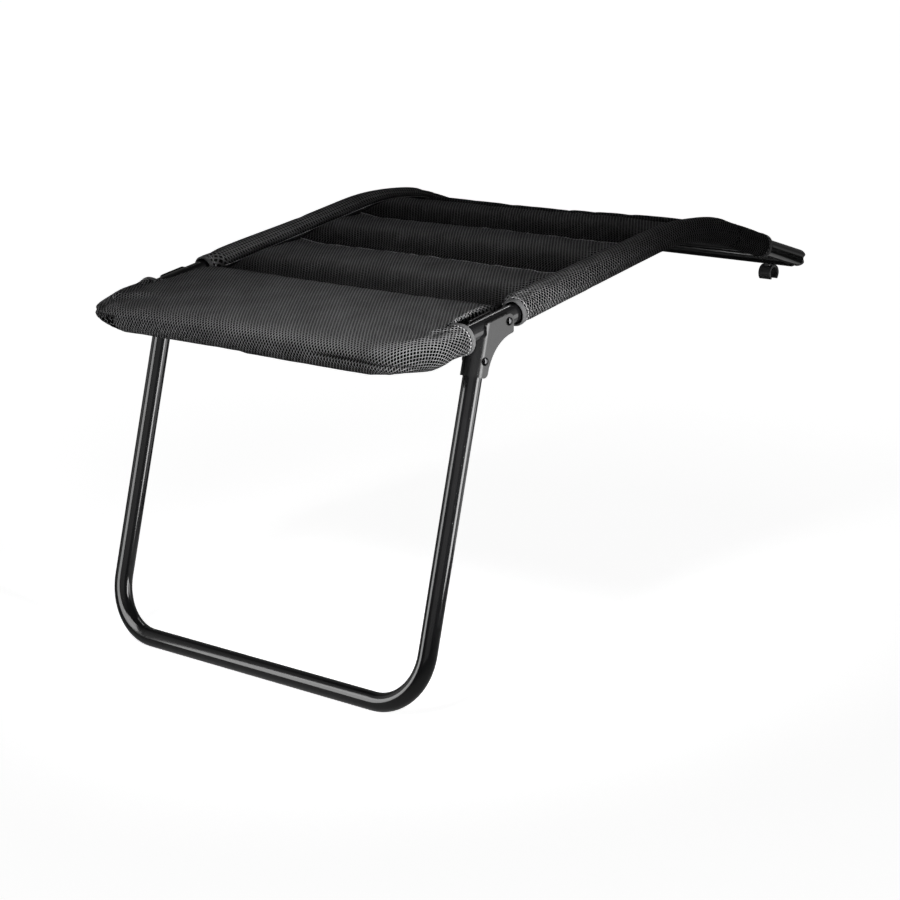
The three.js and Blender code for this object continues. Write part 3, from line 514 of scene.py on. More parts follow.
# Chair clips and their screws
# Each clip is a moulded C that snaps over the chair's front tube, screwed up into the cross bar.
# They keep their own shape from the solid model, with the facets smoothed.
def new_tree(name, **inputs):
    """A Geometry Nodes tree that takes a geometry and these inputs, and the sockets that give them."""
    tree = bpy.data.node_groups.new(name, "GeometryNodeTree")
    for label, kind in {"Geometry": "Geometry", **inputs}.items():
        tree.interface.new_socket(label, in_out="INPUT", socket_type="NodeSocket" + kind)
    tree.interface.new_socket("Geometry", in_out="OUTPUT", socket_type="NodeSocketGeometry")
    return tree, add_node(tree, "NodeGroupInput").outputs


def facet_rounder(sharp_above):
    """Geometry Nodes that weld a faceted solid and shade it round up to an angle."""
    tree, given = new_tree("round_facets")
    bare = add_node(
        tree, "GeometryNodeRemoveAttribute", [("Geometry", given["Geometry"])], Name="custom_normal"
    )
    weld = add_node(tree, "GeometryNodeMergeByDistance", [("Geometry", bare.outputs[0])], Distance=1e-5)
    smooth = add_node(tree, "GeometryNodeSetShadeSmooth", [("Geometry", weld.outputs[0])])
    bend = add_node(tree, "GeometryNodeInputMeshEdgeAngle").outputs["Unsigned Angle"]
    is_sharp = add_node(tree, "FunctionNodeCompare", [(0, bend)], operation="GREATER_THAN")
    is_sharp.inputs[1].default_value = radians(sharp_above)
    creases = add_node(
        tree, "GeometryNodeSetShadeSmooth",
        [("Geometry", smooth.outputs[0]), ("Selection", is_sharp.outputs[0])],
        domain="EDGE", Shade_Smooth=False,
    )
    add_node(tree, "NodeGroupOutput", [(0, creases.outputs[0])])
    return tree


rounder = facet_rounder(32)


def finish_node(node, made):
    """Gives a node of the solid model its material and smooth shading."""
    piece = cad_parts[node]
    piece.data.materials.clear()
    piece.data.materials.append(made)
    piece.modifiers.new("round_facets", "NODES").node_group = rounder


zinc = material("dark_zinc", Base_Color=(0.16, 0.16, 0.165, 1), Metallic=0.9)
haze(zinc, cloud(zinc, 700.0, 4.0), 0.28, 0.5)

for side_name in ("left", "right"):
    finish_node(side_name + "_chair_clip", plastic)
    finish_node(side_name + "_clip_screw", zinc)

# U leg
# One length of the same tube, bent at the foot, which turns up under the rails to fold.
# It is lacquered like the frame.
leg_lean = radians(14.2)
leg_bend = 0.060
leg_length = 0.37272
leg_foot = Vector((0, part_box("leg_tube")[0].y + tube_flat, tube_flat))
leg_up = Vector((0, sin(leg_lean), cos(leg_lean)))
leg_back = Vector((0, cos(leg_lean), -sin(leg_lean)))


def leg_places():
    """Centre, side and up along the leg tube, from the right end round the foot to the left end."""
    places = []
    for along in (leg_length, leg_length - 0.001, 0.2, leg_bend):
        places.append((leg_foot + leg_up * along + x_axis * half_spacing, x_axis, leg_back))
    for step in range(1, bend_steps + 1):
        turn = pi / 2 * step / bend_steps
        across = x_axis * (half_spacing - leg_bend * (1 - cos(turn)))
        centre = leg_foot + leg_up * (leg_bend * (1 - sin(turn))) + across
        places.append((centre, x_axis * cos(turn) - leg_up * sin(turn), leg_back))
    return with_mirror(places)


legs = leg_places()
leg_inside = tube_rings(legs, tube_radius - tube_wall)
leg_tube = skin("u_leg", tube_rings(legs, tube_radius) + leg_inside[::-1], joined=True)
leg_tube.data.materials.append(lacquer)
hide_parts("leg_tube")
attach(leg_tube, "leg")

# Pivot brackets
# Pressed from 2 mm steel into a channel round the leg, with cheeks that reach up beside the rail.
# They are coated satin dark grey and riveted to the leg; the rail turns between their cheeks.
satin = material("satin_grey_coat", Roughness=0.22, Specular_IOR_Level=0.5)
tint(satin, cloud(satin, 60.0, 4.0), (0.006, 0.006, 0.0062), (0.011, 0.011, 0.0113))
grain(satin, cloud(satin, 1100.0, 2.0), strength=0.12, distance=0.0002)
nylon = material("dark_nylon", Roughness=0.55)
tint(nylon, cloud(nylon, 400.0, 2.0), (0.05, 0.05, 0.052), (0.075, 0.075, 0.078))
for side_name in ("left", "right"):
    finish_node(side_name + "_leg_bracket", satin)
    finish_node(side_name + "_inner_pivot_washer", nylon)
    finish_node(side_name + "_outer_pivot_washer", nylon)

# Rivets
# Blackened steel rivets with a polished dome at each end, set through the cheeks.
# One pair is the leg's pivot in the rails, the other pair holds the brackets to the leg.
rivet_steel = material("black_rivet_steel", Base_Color=(0.055, 0.055, 0.057, 1), Metallic=1.0)
haze(rivet_steel, cloud(rivet_steel, 900.0, 3.0), 0.07, 0.18)
rivet_reach = 0.0131
dome_steps = 8


def turned(name, profile, count, sharp):
    """A solid turned about X from its profile of (x, radius)."""
    rings = [ring(Vector((x, 0, 0)), Vector((0, 1, 0)), Vector((0, 0, 1)), r, count) for x, r in profile]
    return skin(name, rings, capped=True, sharp=sharp)


def rivet_profile(reach, head, height, shank):
    profile = [(-reach - height, 0.0001)]
    for i in range(1, dome_steps + 1):
        turn = pi / 2 * i / dome_steps
        profile.append((-reach - height * cos(turn), head * sin(turn)))
    profile += [(-reach, head * 0.93), (-reach, shank)]
    return profile + [(-x, r) for x, r in reversed(profile)]


def set_copies(tree, given, points, turn=None):
    """Ends a tree with copies of its Piece on the points, made into one mesh in its Finish."""
    piece = add_node(tree, "GeometryNodeObjectInfo", [("Object", given["Piece"])]).outputs["Geometry"]
    links = [("Points", points), ("Instance", piece)]
    if turn is not None:
        links.append(("Rotation", turn))
    copies = add_node(tree, "GeometryNodeInstanceOnPoints", links)
    solid = add_node(tree, "GeometryNodeRealizeInstances", [("Geometry", copies.outputs[0])])
    painted = add_node(
        tree, "GeometryNodeSetMaterial", [("Geometry", solid.outputs[0]), ("Material", given["Finish"])]
    )
    add_node(tree, "NodeGroupOutput", [(0, painted.outputs[0])])
    return tree


def grown(name, base, tree, **values):
    """The plain mesh that a Geometry Nodes tree makes from a base object, which then goes."""
    growth = base.modifiers.new("growth", "NODES")
    growth.node_group = tree
    for socket in tree.interface.items_tree:
        key = socket.name.lower()
        if socket.in_out == "INPUT" and key in values:
            growth[socket.identifier] = values[key]
    bpy.context.view_layer.update()
    depsgraph = bpy.context.evaluated_depsgraph_get()
    mesh = bpy.data.meshes.new_from_object(base.evaluated_get(depsgraph))
    mesh.name = name
    bpy.data.objects.remove(base)
    return in_scene(name, mesh)


def wires(name, points, edges=()):
    """A bare mesh of points and edges, for copies to be set on."""
    mesh = bpy.data.meshes.new(name)
    mesh.from_pydata(points, edges, [])
    return in_scene(name, mesh)


rivet_outline = rivet_profile(rivet_reach, head=0.0044, height=0.0024, shank=0.0024)
one_rivet = turned("rivet_template", rivet_outline, count=32, sharp=50)
rivet_tree, given = new_tree("set_rivets", Piece="Object", Finish="Material")
set_rivets = set_copies(rivet_tree, given, given["Geometry"])
for where, body in (("pivot", "frame"), ("leg", "leg")):
    centres = []
    for side_name in ("left", "right"):
        low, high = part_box(f"{side_name}_{where}_rivet")
        centres.append((low + high) / 2)
    points = wires("points", centres)
    rivets = grown(where + "_rivets", points, set_rivets, piece=one_rivet, finish=rivet_steel)
    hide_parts(f"left_{where}_rivet", f"right_{where}_rivet")
    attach(rivets, body)
bpy.data.objects.remove(one_rivet)

# Spacer mesh cloth
# A thick black knitted mesh: staggered openings about 4 mm apart between crossing strands.
# Stretched over a nose its openings gape; where it lies slack on the filling they close up.
spacer_mesh = material("black_spacer_mesh", Roughness=0.85, Specular_IOR_Level=0.02)
opening_pitch = 0.0041
row_pitch = 0.00285
strand_blur = 0.15


def knit(made, dark, light, depth):
    """Crossing strands on the unrolled cloth, with dark openings between them, darkened by painted shade
    where a point's stored shade share is high.
    """
    cloth_place = add_node(made, "ShaderNodeUVMap", uv_map="cloth").outputs[0]
    stretch = add_node(made, "ShaderNodeAttribute", attribute_name="stretch").outputs["Fac"]
    painted_shade = add_node(made, "ShaderNodeAttribute", attribute_name="painted_shade").outputs["Fac"]
    split = add_node(made, "ShaderNodeSeparateXYZ", [("Vector", cloth_place)]).outputs
    waver = calculate(made, "MULTIPLY_ADD", cloud(made, 110.0, 2.0, cloth_place), 0.0008, -0.0004)
    u = calculate(made, "ADD", split["X"], waver)
    across = calculate(made, "MULTIPLY", u, 2 * pi / opening_pitch)
    along = calculate(made, "MULTIPLY", split["Y"], pi / row_pitch)
    strands = []
    for operation in ("ADD", "SUBTRACT"):
        wave = calculate(made, "COSINE", calculate(made, operation, across, along))
        strands.append(calculate(made, "MULTIPLY_ADD", wave, 0.5, 0.5))
    net = calculate(made, "SMOOTH_MAX", strands[0], strands[1], 0.2)
    fibre = cloud(made, 1300.0, 3.0, cloth_place)
    patchy = cloud(made, 26.0, 5.0, cloth_place)
    ragged = calculate(made, "MULTIPLY_ADD", fibre, 0.22, -0.11)
    edge = calculate(made, "MULTIPLY_ADD", stretch, 0.37, 0.49)
    edge_end = calculate(made, "ADD", edge, strand_blur)
    crisp = add_node(
        made, "ShaderNodeMapRange",
        [("Value", calculate(made, "ADD", net, ragged)), ("From Min", edge), ("From Max", edge_end)],
        interpolation_type="SMOOTHSTEP",
    ).outputs[0]
    lit = calculate(made, "MULTIPLY", crisp, calculate(made, "MULTIPLY_ADD", fibre, 0.9, 0.45))
    lit = calculate(made, "MULTIPLY", lit, calculate(made, "MULTIPLY_ADD", patchy, 0.9, 0.5))
    # Painted shade: the strands darken where the stored shade share is high, in creases, at seams and on
    # the lining.
    lit = calculate(made, "MULTIPLY", lit, calculate(made, "MULTIPLY_ADD", painted_shade, -0.95, 1.0))
    tint(made, lit, dark, light)
    grain(made, calculate(made, "MULTIPLY_ADD", fibre, 0.2, crisp), strength=0.8, distance=depth)


knit(spacer_mesh, dark=(0.0012, 0.0012, 0.0013), light=(0.175, 0.175, 0.177), depth=0.0005)


def mark_cloth(piece, stretch, painted_shade):
    """Stores how far each point is stretched and how much painted shade it takes, from 0 to 1."""
    for name, shares in (("stretch", stretch), ("painted_shade", painted_shade)):
        layer = piece.data.attributes.new(name, "FLOAT", "POINT")
        layer.data.foreach_set("value", shares)


# Bound edges
# The cover's mouths are bound with a smooth woven tape, folded over the edge and sewn once round.
# The thread is a lighter grey.
tape = material("black_binding_tape", Roughness=0.8, Specular_IOR_Level=0.2, Sheen_Weight=0.03)
tint(tape, cloud(tape, 700.0, 4.0), (0.03, 0.03, 0.0304), (0.12, 0.12, 0.1215))
grain(tape, cloud(tape, 1500.0, 3.0), strength=0.5, distance=0.0004)
thread = material("grey_sewing_thread", Roughness=0.7, Specular_IOR_Level=0.2)
tint(thread, cloud(thread, 2600.0, 1.0), (0.16, 0.16, 0.1615), (0.38, 0.38, 0.384))
tape_sides = 14
tape_thick = 0.0022


def bound_edge(name, path, outward, radial, width):
    """A tape swept round a closed path. outward points off the edge, radial(p) away from its middle."""
    profile = []
    for i in range(tape_sides):
        turn = 2 * pi * i / tape_sides
        profile.append((
            abs(cos(turn)) ** 0.55 * (1 if cos(turn) > 0 else -1) * width / 2,
            abs(sin(turn)) ** 0.8 * (1 if sin(turn) > 0 else -1) * tape_thick / 2,
        ))
    rings = [[p + outward * (a - width * 0.35) + radial(p) * b for a, b in profile] for p in path]
    band = skin(name, rings, joined=True, sharp=180)
    band.data.materials.append(tape)
    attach(band, "frame")


# Foot pillow
# Spacer mesh wrapped round the foot-end bar and both corners over a soft filling, open at two mouths
# where the rails come out, notched beside the brackets, and sewn flat to the panel behind.
pillow_radius = 0.0153
mouth_along = 0.0845
seam_along = 0.1687
neck_half = 0.2065
side_run = 0.057
edge_length = 0.1145


def pillow_edge(distance):
    """The pillow's rear edge in plan, by the distance along it from above the bend's start."""
    to_corner = neck_half - (half_spacing - foot_bend)
    if distance < to_corner:
        return half_spacing - foot_bend + distance, seam_along
    distance -= to_corner
    if distance < side_run:
        return neck_half, seam_along - distance
    turn = min(1.0, (distance - side_run) / 0.027) * pi / 2
    start = seam_along - side_run
    return neck_half + 0.003 * (1 - cos(turn)), start - (start - mouth_along) * sin(turn)


def pillow_columns():
    """Columns from the middle to the right mouth: centre, outward way, rear end, corner and mouth share."""
    columns = []
    bar_steps = 28
    for i in range(bar_steps):
        x = (half_spacing - foot_bend) * i / bar_steps
        columns.append(((x, 0.0), (0.0, -1.0), (x, seam_along), 0.0, 0.0))
    corner_steps, rail_steps = 68, 9
    total = corner_steps + rail_steps
    for i in range(corner_steps + 1):
        turn = pi / 2 * i / corner_steps
        centre = (half_spacing - foot_bend * (1 - sin(turn)), foot_bend * (1 - cos(turn)))
        rear = pillow_edge(edge_length * i / total)
        columns.append((centre, (sin(turn), -cos(turn)), rear, turn / (pi / 2), 0.0))
    for i in range(1, rail_steps + 1):
        along = foot_bend + (mouth_along - foot_bend) * i / rail_steps
        rear = pillow_edge(edge_length * (corner_steps + i) / total)
        columns.append(((half_spacing, along), (1.0, 0.0), rear, 1.0, i / rail_steps))
    return columns


def smooth_step(low, high, value):
    t = min(1.0, max(0.0, (value - low) / (high - low)))
    return t * t * (3 - 2 * t)


def bell(value, centre, width):
    return 2.718 ** (-(((value - centre) / width) ** 2))


top_steps = 30
round_steps = 34
under_steps = 18
lining_radius = 0.0104
ridge_foot = (0.2162, 0.0202)
ridge_way = (-0.947, 0.322)
pleat_count = 14


def pillow_section(column, sign, folded):
    """One closed loop of the pillow, its places on the unrolled cloth, its stretch and the painted shade in
    its creases and along its rear seam.
    """
    (cx, ca), (nx, na), (bx, ba), corner, mouth = column
    left = sign < 0
    ear = sin(min(1.0, corner) * pi) ** 2 * (1.0 if left else 0.35)
    reach = pillow_radius + (0.0070 if left else 0.0032) * ear
    top = pillow_radius * (1 - (0.20 if left else 0.05) * ear) - 0.0006 * mouth
    pinch = smooth_step(0.0, 0.8, corner)
    under = 0.0160 - (0.0030 if left else 0.0) * pinch * (1 - mouth) + 0.0004 * mouth
    if left:
        under -= 0.0032 * bell(corner, 0.2, 0.28)
    else:
        under += (0.0011 * bell(corner, 0.95, 0.30) - 0.0016 * bell(corner, 0.42, 0.30)) * (1 - mouth)
    rear_half = 0.0022 + 0.0065 * smooth_step(0.35, 1.0, corner) * (0.35 + 0.65 * mouth)
    middle = max(0.0, 1 - (abs(cx) / neck_half) ** 2)
    free_edge = smooth_step(0.25, 0.45, corner)
    points, flat, stretch, painted_shade = [], [], [], []

    # depth is the painted shade a point takes, from 0 to 1.
    def put(x, a, h, u, v, share, depth):
        points.append(on_rail(sign * x, a, h))
        flat.append((sign * u, v))
        stretch.append(min(1.0, share))
        painted_shade.append(min(1.0, max(0.0, depth)))

    for i in range(top_steps):
        t = 1 - (1 - i / top_steps) ** 1.25
        x, a = bx + (cx - bx) * t, ba + (ca - ba) * t
        drawn = rear_half + (top - rear_half) * sqrt(max(0.0, 1 - (1 - t) ** 2.6))
        crown = 0.0012 * middle * sin(pi * sqrt(1 - t))
        ridge = 0.0020 * ear * bell(t, 0.95, 0.06)
        if left:
            off_x, off_along = x - ridge_foot[0], a - ridge_foot[1]
            beside = ridge_way[1] * off_x - ridge_way[0] * off_along
            down = ridge_way[0] * off_x + ridge_way[1] * off_along
            drawn_out = smooth_step(-0.008, 0.004, down) * (1 - smooth_step(0.035, 0.062, down))
            ridge += (0.0042 * bell(beside, 0.0, 0.006) - 0.0020 * bell(beside, -0.011, 0.008)) * drawn_out
        # Painted shade on the first rows behind the rear seam, where the pillow steps down to the panel,
        # less at the free edge by the notch.
        shade = (0.9 - 0.3 * free_edge) * (1.0, 0.85, 0.4, 0.1)[i] if i < 4 else 0.0
        put(x, a, drawn + crown + ridge, x, a, 0.45 + 0.3 * corner, shade)
    for i in range(round_steps):
        turn = pi * i / round_steps
        height = top * cos(turn) if turn < pi / 2 else under * cos(turn)
        out = reach * sin(turn) ** (1 + 0.5 * ear)
        height += (0.0042 if left else 0.0) * ear * sin(turn) ** 2
        shade = 0.0
        if folded and left:
            crease = (0.38 + 0.16 * corner) * pi
            share = smooth_step(0.0, 0.08, corner) * (1 - smooth_step(0.62, 0.8, corner))
            fold = bell(turn, crease, 0.045 * pi) * share
            fan = smooth_step(crease, crease + 0.08 * pi, turn)
            fan *= 1 - smooth_step(0.66 * pi, 0.85 * pi, turn)
            fan *= share
            pleat = (1 + cos(2 * pi * (corner * pleat_count + 0.5 * turn))) / 2
            out -= 0.0034 * fold + 0.0026 * fan * pleat
            # Painted shade along the left corner's fold and in the gaps between its pleats.
            shade = 0.97 * bell(turn, crease, 0.022 * pi) * share + 0.25 * fan * pleat ** 3
        elif folded:
            crease = (0.455 + 0.30 * corner) * pi
            share = smooth_step(0.105, 0.125, cx) * (1 - smooth_step(0.45, 0.65, corner))
            fold = bell(turn, crease, 0.04 * pi) * share
            flap = bell(turn, crease + 0.13 * pi, 0.07 * pi) * share
            shift = 0.0004 * flap - 0.0042 * fold
            out += shift * 0.9
            height += shift * cos(turn)
            # Painted shade along the right corner's fold, fading towards the mouth.
            fade = 1 - 0.6 * smooth_step(0.15, 0.4, corner)
            shade = 0.95 * bell(turn, crease, 0.026 * pi) * share * fade
        arc = pillow_radius * turn
        put(cx + nx * out, ca + na * out, height, cx + nx * arc, ca + na * arc,
            0.45 + 0.55 * smooth_step(0.1 * pi, 0.4 * pi, turn), shade)
    half_turn = pi * pillow_radius
    for i in range(under_steps + 1):
        t = (i / under_steps) ** 1.25
        x, a = cx + (bx - cx) * t, ca + (ba - ca) * t
        drawn = rear_half + (under - rear_half) * sqrt(max(0.0, 1 - t ** 2.6))
        distance = half_turn + hypot(x - cx, a - ca)
        # The last rows under the rear edge, where the pillow tucks under onto the panel, take full painted
        # shade.
        put(x, a, -drawn, cx + nx * distance, ca + na * distance, 1.0, 1.0 if i > under_steps - 2 else 0.0)
    flat.append((sign * bx, ba))
    return points, flat, stretch, painted_shade


def lined_cover(name, outside, lining, flat, held, stretch, painted_shade):
    """A cover of rings that turns in at both mouths, with a lining behind it that is held in place."""
    # The lining is marked fully stretched and takes full painted shade, so it shows near black inside the
    # mouths.
    inside = [1.0] * (len(lining) * len(outside[0]))
    unrolled = flat + [flat[-1]] * len(lining) + [flat[0]]
    cover = skin(name, outside + lining[::-1], joined=True, flat=unrolled, sharp=180)
    mark_cloth(cover, stretch + inside, painted_shade + inside)
    return cover, held + inside


def whole_pillow(folded):
    half = pillow_columns()
    order = [(c, -1) for c in reversed(half)] + [(c, 1) for c in half[1:]]
    sections = [pillow_section(c, sign, folded) for c, sign in order]
    outside, cloth, stretches, painted_shades = zip(*sections)
    rows, count = len(outside), len(outside[0])
    _, up = rail_axes(0)
    lining = []
    held = []
    for index, (column, sign) in enumerate(order):
        from_mouth = min(index, rows - 1 - index)
        held += [1.0 if from_mouth < 2 or j in (0, count - 1) else 0.0 for j in range(count)]
        if from_mouth not in (0, 1, 3) and index % 6:
            continue
        (cx, ca), (nx, na), _, _, _ = column
        centre = on_rail(sign * cx, ca, 0)
        out = Vector((sign * nx, na * cos(rise), na * sin(rise)))
        radius = 0.0126 if from_mouth < 2 else lining_radius
        loop = []
        for p in outside[index]:
            turn = atan2((p - centre).dot(up), (p - centre).dot(out))
            loop.append(centre + out * (radius * cos(turn)) + up * (radius * sin(turn)))
        lining.append(loop)
    pillow, held = lined_cover(
        "foot_pillow_cover", list(outside), lining, list(cloth), held, sum(stretches, []), sum(painted_shades, [])
    )
    return pillow, held, outside[0], outside[-1]


pillow, pillow_held, left_mouth, right_mouth = whole_pillow(folded=True)
flat_pillow = whole_pillow(folded=False)[0]
folds = [a.co - b.co for a, b in zip(pillow.data.vertices, flat_pillow.data.vertices)]
for vertex, shift in zip(pillow.data.vertices, folds):
    vertex.co -= shift
bpy.data.objects.remove(flat_pillow)

# Quilted panel
# Two layers of spacer mesh over foam, sewn through in four channels between the rails.
# The last seam leaves a flat hem at the chair end.
seams_along = [0.1690, 0.2971, 0.4033, 0.5084, 0.6160]
panel_end = 0.6389
seam_heights = [0.0005, -0.0035, -0.0020, 0.0022, 0.0000]
crowns = [0.0095, 0.0105, 0.0085, 0.0078]
channel_rows = 24
hem_rows = 5
panel_columns = 84
edge_run = 0.026
panel_sag = 0.0040
under_shift = 0.7
sleeve_crease = 0.2083


def crease_half(along, sign):
    """How far from the middle the panel's crease lies: the sleeves reach further in near the foot end."""
    if sign < 0:
        return sleeve_crease - 0.0130 * (1 - smooth_step(0.40, 0.64, along))
    return sleeve_crease - 0.0063 * (1 - smooth_step(0.24, 0.50, along))


def panel_rows():
    """Rows from seam to seam: place along, swell, crown, height, whether it is sewn, and how open it is."""
    rows = []
    for k, (start, stop) in enumerate(zip(seams_along, seams_along[1:])):
        for i in range(channel_rows):
            t = (1 - cos(pi * i / channel_rows)) / 2 * 0.6 + i / channel_rows * 0.4
            swell = min(1.0, sin(pi * t ** 0.72) ** 0.6 * 1.02)
            base = seam_heights[k] + (seam_heights[k + 1] - seam_heights[k]) * t
            open_share = 1 - smooth_step(0.04, 0.42, t)
            rows.append((start + (stop - start) * t, swell, crowns[k], base, i == 0, open_share))
    last = seams_along[-1]
    for i in range(hem_rows + 1):
        along = last + (panel_end - last) * i / hem_rows
        rows.append((along, 0.0, 0.0, seam_heights[-1], i in (0, hem_rows), 0.2))
    return rows


def whole_panel():
    columns = panel_columns
    rings, flat, held, stretch, painted_shade = [], [], [], [], []
    for along, swell, crown, base, sewn, open_share in panel_rows():
        upper, lower = [], []
        left_half, right_half = crease_half(along, -1), crease_half(along, 1)
        xs = [-left_half + (left_half + right_half) * j / columns for j in range(columns + 1)]
        for x in xs:
            side = min(1.0, (left_half + x) / edge_run, (right_half - x) / edge_run)
            rise_by = swell * sqrt(max(0.0, 1 - (1 - side) ** 2))
            level = base * smooth_step(0.0, 1.0, side)
            level -= panel_sag * smooth_step(0.30, 0.52, along) * smooth_step(0.16, -0.06, x) * side
            upper.append(on_rail(x, along, level + crown * rise_by))
            lower.append(on_rail(x, along, level - 0.004 - 0.005 * rise_by))
        rings.append(upper + lower[::-1])
        above = [(x, along) for x in xs]
        below = [(x + under_shift, along) for x in reversed(xs)]
        flat.append(above + below + [(xs[0], along)])
        past_seams = along > seams_along[-1]
        for j in range(2 * (columns + 1)):
            place = j if j <= columns else 2 * columns + 1 - j
            held.append(1.0 if sewn or place in (0, columns) or past_seams else 0.0)
            stretch.append(0.5 + 0.5 * open_share if j <= columns else 0.6)
            # Painted shade in the crease beside each sleeve, on the sewn rows and on each channel's front
            # slope just behind its seam.
            to_crease = min(left_half + xs[place], right_half - xs[place])
            in_crease = 1 - smooth_step(0.0, 0.006, to_crease)
            near_seam = 0.8 if sewn else 0.6 * open_share * (along < seams_along[-1])
            painted_shade.append(max(0.95 * in_crease, near_seam))
    panel = skin("quilted_mesh_panel", rings, capped=True, flat=flat, sharp=180)
    mark_cloth(panel, stretch, painted_shade)
    return panel, held


panel, panel_held = whole_panel()

# Rail sleeves
# Spacer mesh over a thin foam, wrapped round each rail and sewn to the panel's edge.
# They are fuller towards the panel and end in a bound mouth at both ends.
sleeve_start = 0.1660
sleeve_end = 0.6345
sleeve_seam = 0.5632
mouth_radius = 0.0134
cloth_radius = 0.0148
sleeve_sides = 52


def sleeve_places():
    """Places along the sleeve, closer together at its ends and at its seam."""
    stations = list(np.linspace(sleeve_start, sleeve_end, 113))
    stations += [sleeve_start + d for d in (0.001, 0.006)] + [sleeve_end - d for d in (0.001, 0.006)]
    return sorted(stations + [sleeve_seam + d for d in (-0.002, -0.001, 0, 0.001, 0.002)])


def whole_sleeve(name, sign):
    rings, flat, held, stretch, painted_shade = [], [], [], [], []
    stations = sleeve_places()
    cloth_turns = [2 * pi * (j + 0.5) / sleeve_sides for j in range(sleeve_sides + 1)]
    turns = cloth_turns[:-1]
    for along in stations:
        hem = smooth_step(0.003, 0.011, along - sleeve_start)
        hem *= smooth_step(0.003, 0.011, sleeve_end - along)
        full = 1 - smooth_step(crest_start - 0.08, crest_start + 0.08, along)
        bump = bell(along, sleeve_seam - 0.035, 0.03)
        sewn = bell(along, sleeve_seam, 0.0016)
        loop = []
        for turn in turns:
            inward = -sign * cos(turn)
            upward = sin(turn)
            radius = 0.0145 + 0.0018 * max(0.0, inward) - 0.0018 * max(0.0, -upward)
            radius += 0.0046 * max(0.0, inward) * max(0.0, upward) * full
            radius += (sleeve_crease - crease_half(along, sign)) * max(0.0, inward) ** 3
            radius += 0.0016 * bump * max(0.0, upward) - 0.0014 * sewn
            if sign < 0:
                radius -= 0.0026 * smooth_step(0.2, 0.34, along) * max(0.0, upward) * (1 - max(0.0, inward))
            radius = mouth_radius + (radius - mouth_radius) * hem
            loop.append(on_rail(sign * half_spacing + radius * cos(turn), along, radius * sin(turn)))
            held.append(1.0 if hem < 0.5 or inward > 0.9 or sewn > 0.3 else 0.0)
            stretch.append(0.45 + 0.5 * smooth_step(-0.9, 0.6, sign * cos(turn) - 0.4 * upward))
            # Painted shade where the sleeve's inner side meets the panel, and along its seam.
            painted_shade.append(0.9 * bell(inward, 1.0, 0.07) * (upward < 0.5) + 0.5 * sewn)
        rings.append(loop)
        flat.append([(along, cloth_radius * turn) for turn in cloth_turns])
    lining = []
    for along in stations[::4] + [stations[-1]]:
        radius = 0.0124 if along in (stations[0], stations[-1]) else lining_radius
        middle = sign * half_spacing
        lining.append([on_rail(middle + radius * cos(t), along, radius * sin(t)) for t in turns])
    return lined_cover(name, rings, lining, flat, held, stretch, painted_shade)


left_sleeve, left_held = whole_sleeve("left_rail_sleeve_cover", -1)
right_sleeve, right_held = whole_sleeve("right_rail_sleeve_cover", 1)

# Filling
# The foam and wadding push the sewn covers out between their seams, where the mesh cloth puckers.
# Seams, bound mouths and the lining round the tubes stay where they are sewn.
filling_steps = 20
puffed = (
    (pillow, pillow_held, 2.0, -0.004, 0.0016),
    (panel, panel_held, 2.0, -0.010, 0.0022),
    (left_sleeve, left_held, 1.0, -0.004, 0.0007),
    (right_sleeve, right_held, 1.0, -0.004, 0.0007),
)


def fill_cover(piece, held, pressure, slack):
    """Sets up the cloth simulation in which the filling's pressure swells a cover."""
    group = piece.vertex_groups.new(name="sewn")
    for index, weight in enumerate(held):
        if weight:
            group.add([index], weight, "REPLACE")
    cloth = piece.modifiers.new("filling", "CLOTH")
    cloth.settings.quality = 5
    cloth.settings.mass = 0.2
    cloth.settings.tension_stiffness = 12
    cloth.settings.compression_stiffness = 12
    cloth.settings.shear_stiffness = 4
    cloth.settings.bending_stiffness = 0.6
    cloth.settings.use_pressure = True
    cloth.settings.uniform_pressure_force = pressure
    cloth.settings.shrink_min = slack
    cloth.settings.vertex_group_mass = "sewn"
    cloth.settings.effector_weights.gravity = 0
    cloth.collision_settings.use_collision = False
    cloth.point_cache.frame_start = 1
    cloth.point_cache.frame_end = filling_steps


def keep_filled(piece, most, depsgraph):
    """Moves a cover's points to where the simulation took them, by no more than most."""
    filled = piece.evaluated_get(depsgraph).to_mesh()
    before = np.zeros(len(piece.data.vertices) * 3)
    after = np.zeros(len(piece.data.vertices) * 3)
    piece.data.vertices.foreach_get("co", before)
    filled.vertices.foreach_get("co", after)
    move = (after - before).reshape(-1, 3)
    length = np.linalg.norm(move, axis=1, keepdims=True)
    move *= np.minimum(1, most / np.maximum(length, 1e-9))
    piece.evaluated_get(depsgraph).to_mesh_clear()
    piece.modifiers.remove(piece.modifiers["filling"])
    piece.data.vertices.foreach_set("co", (before.reshape(-1, 3) + move).ravel())
    piece.data.update()


for piece, held, pressure, slack, _ in puffed:
    fill_cover(piece, held, pressure, slack)
for step in range(1, filling_steps + 1):
    scene.frame_set(step)
depsgraph = bpy.context.evaluated_depsgraph_get()
for piece, _, _, _, most in puffed:
    keep_filled(piece, most, depsgraph)
scene.frame_set(1)
for vertex, shift in zip(pillow.data.vertices, folds):
    vertex.co += shift

for piece, node, fill in (
    (pillow, "foot_pillow", 0.55),
    (panel, "quilted_panel", 0.6),
    (left_sleeve, "left_rail_sleeve", 0.7),
    (right_sleeve, "right_rail_sleeve", 0.7),
):
    finer = piece.modifiers.new("finer", "SUBSURF")
    finer.levels = 1
    finer.render_levels = 1
    piece.data.materials.append(spacer_mesh)
    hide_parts(node)
    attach(piece, "frame")

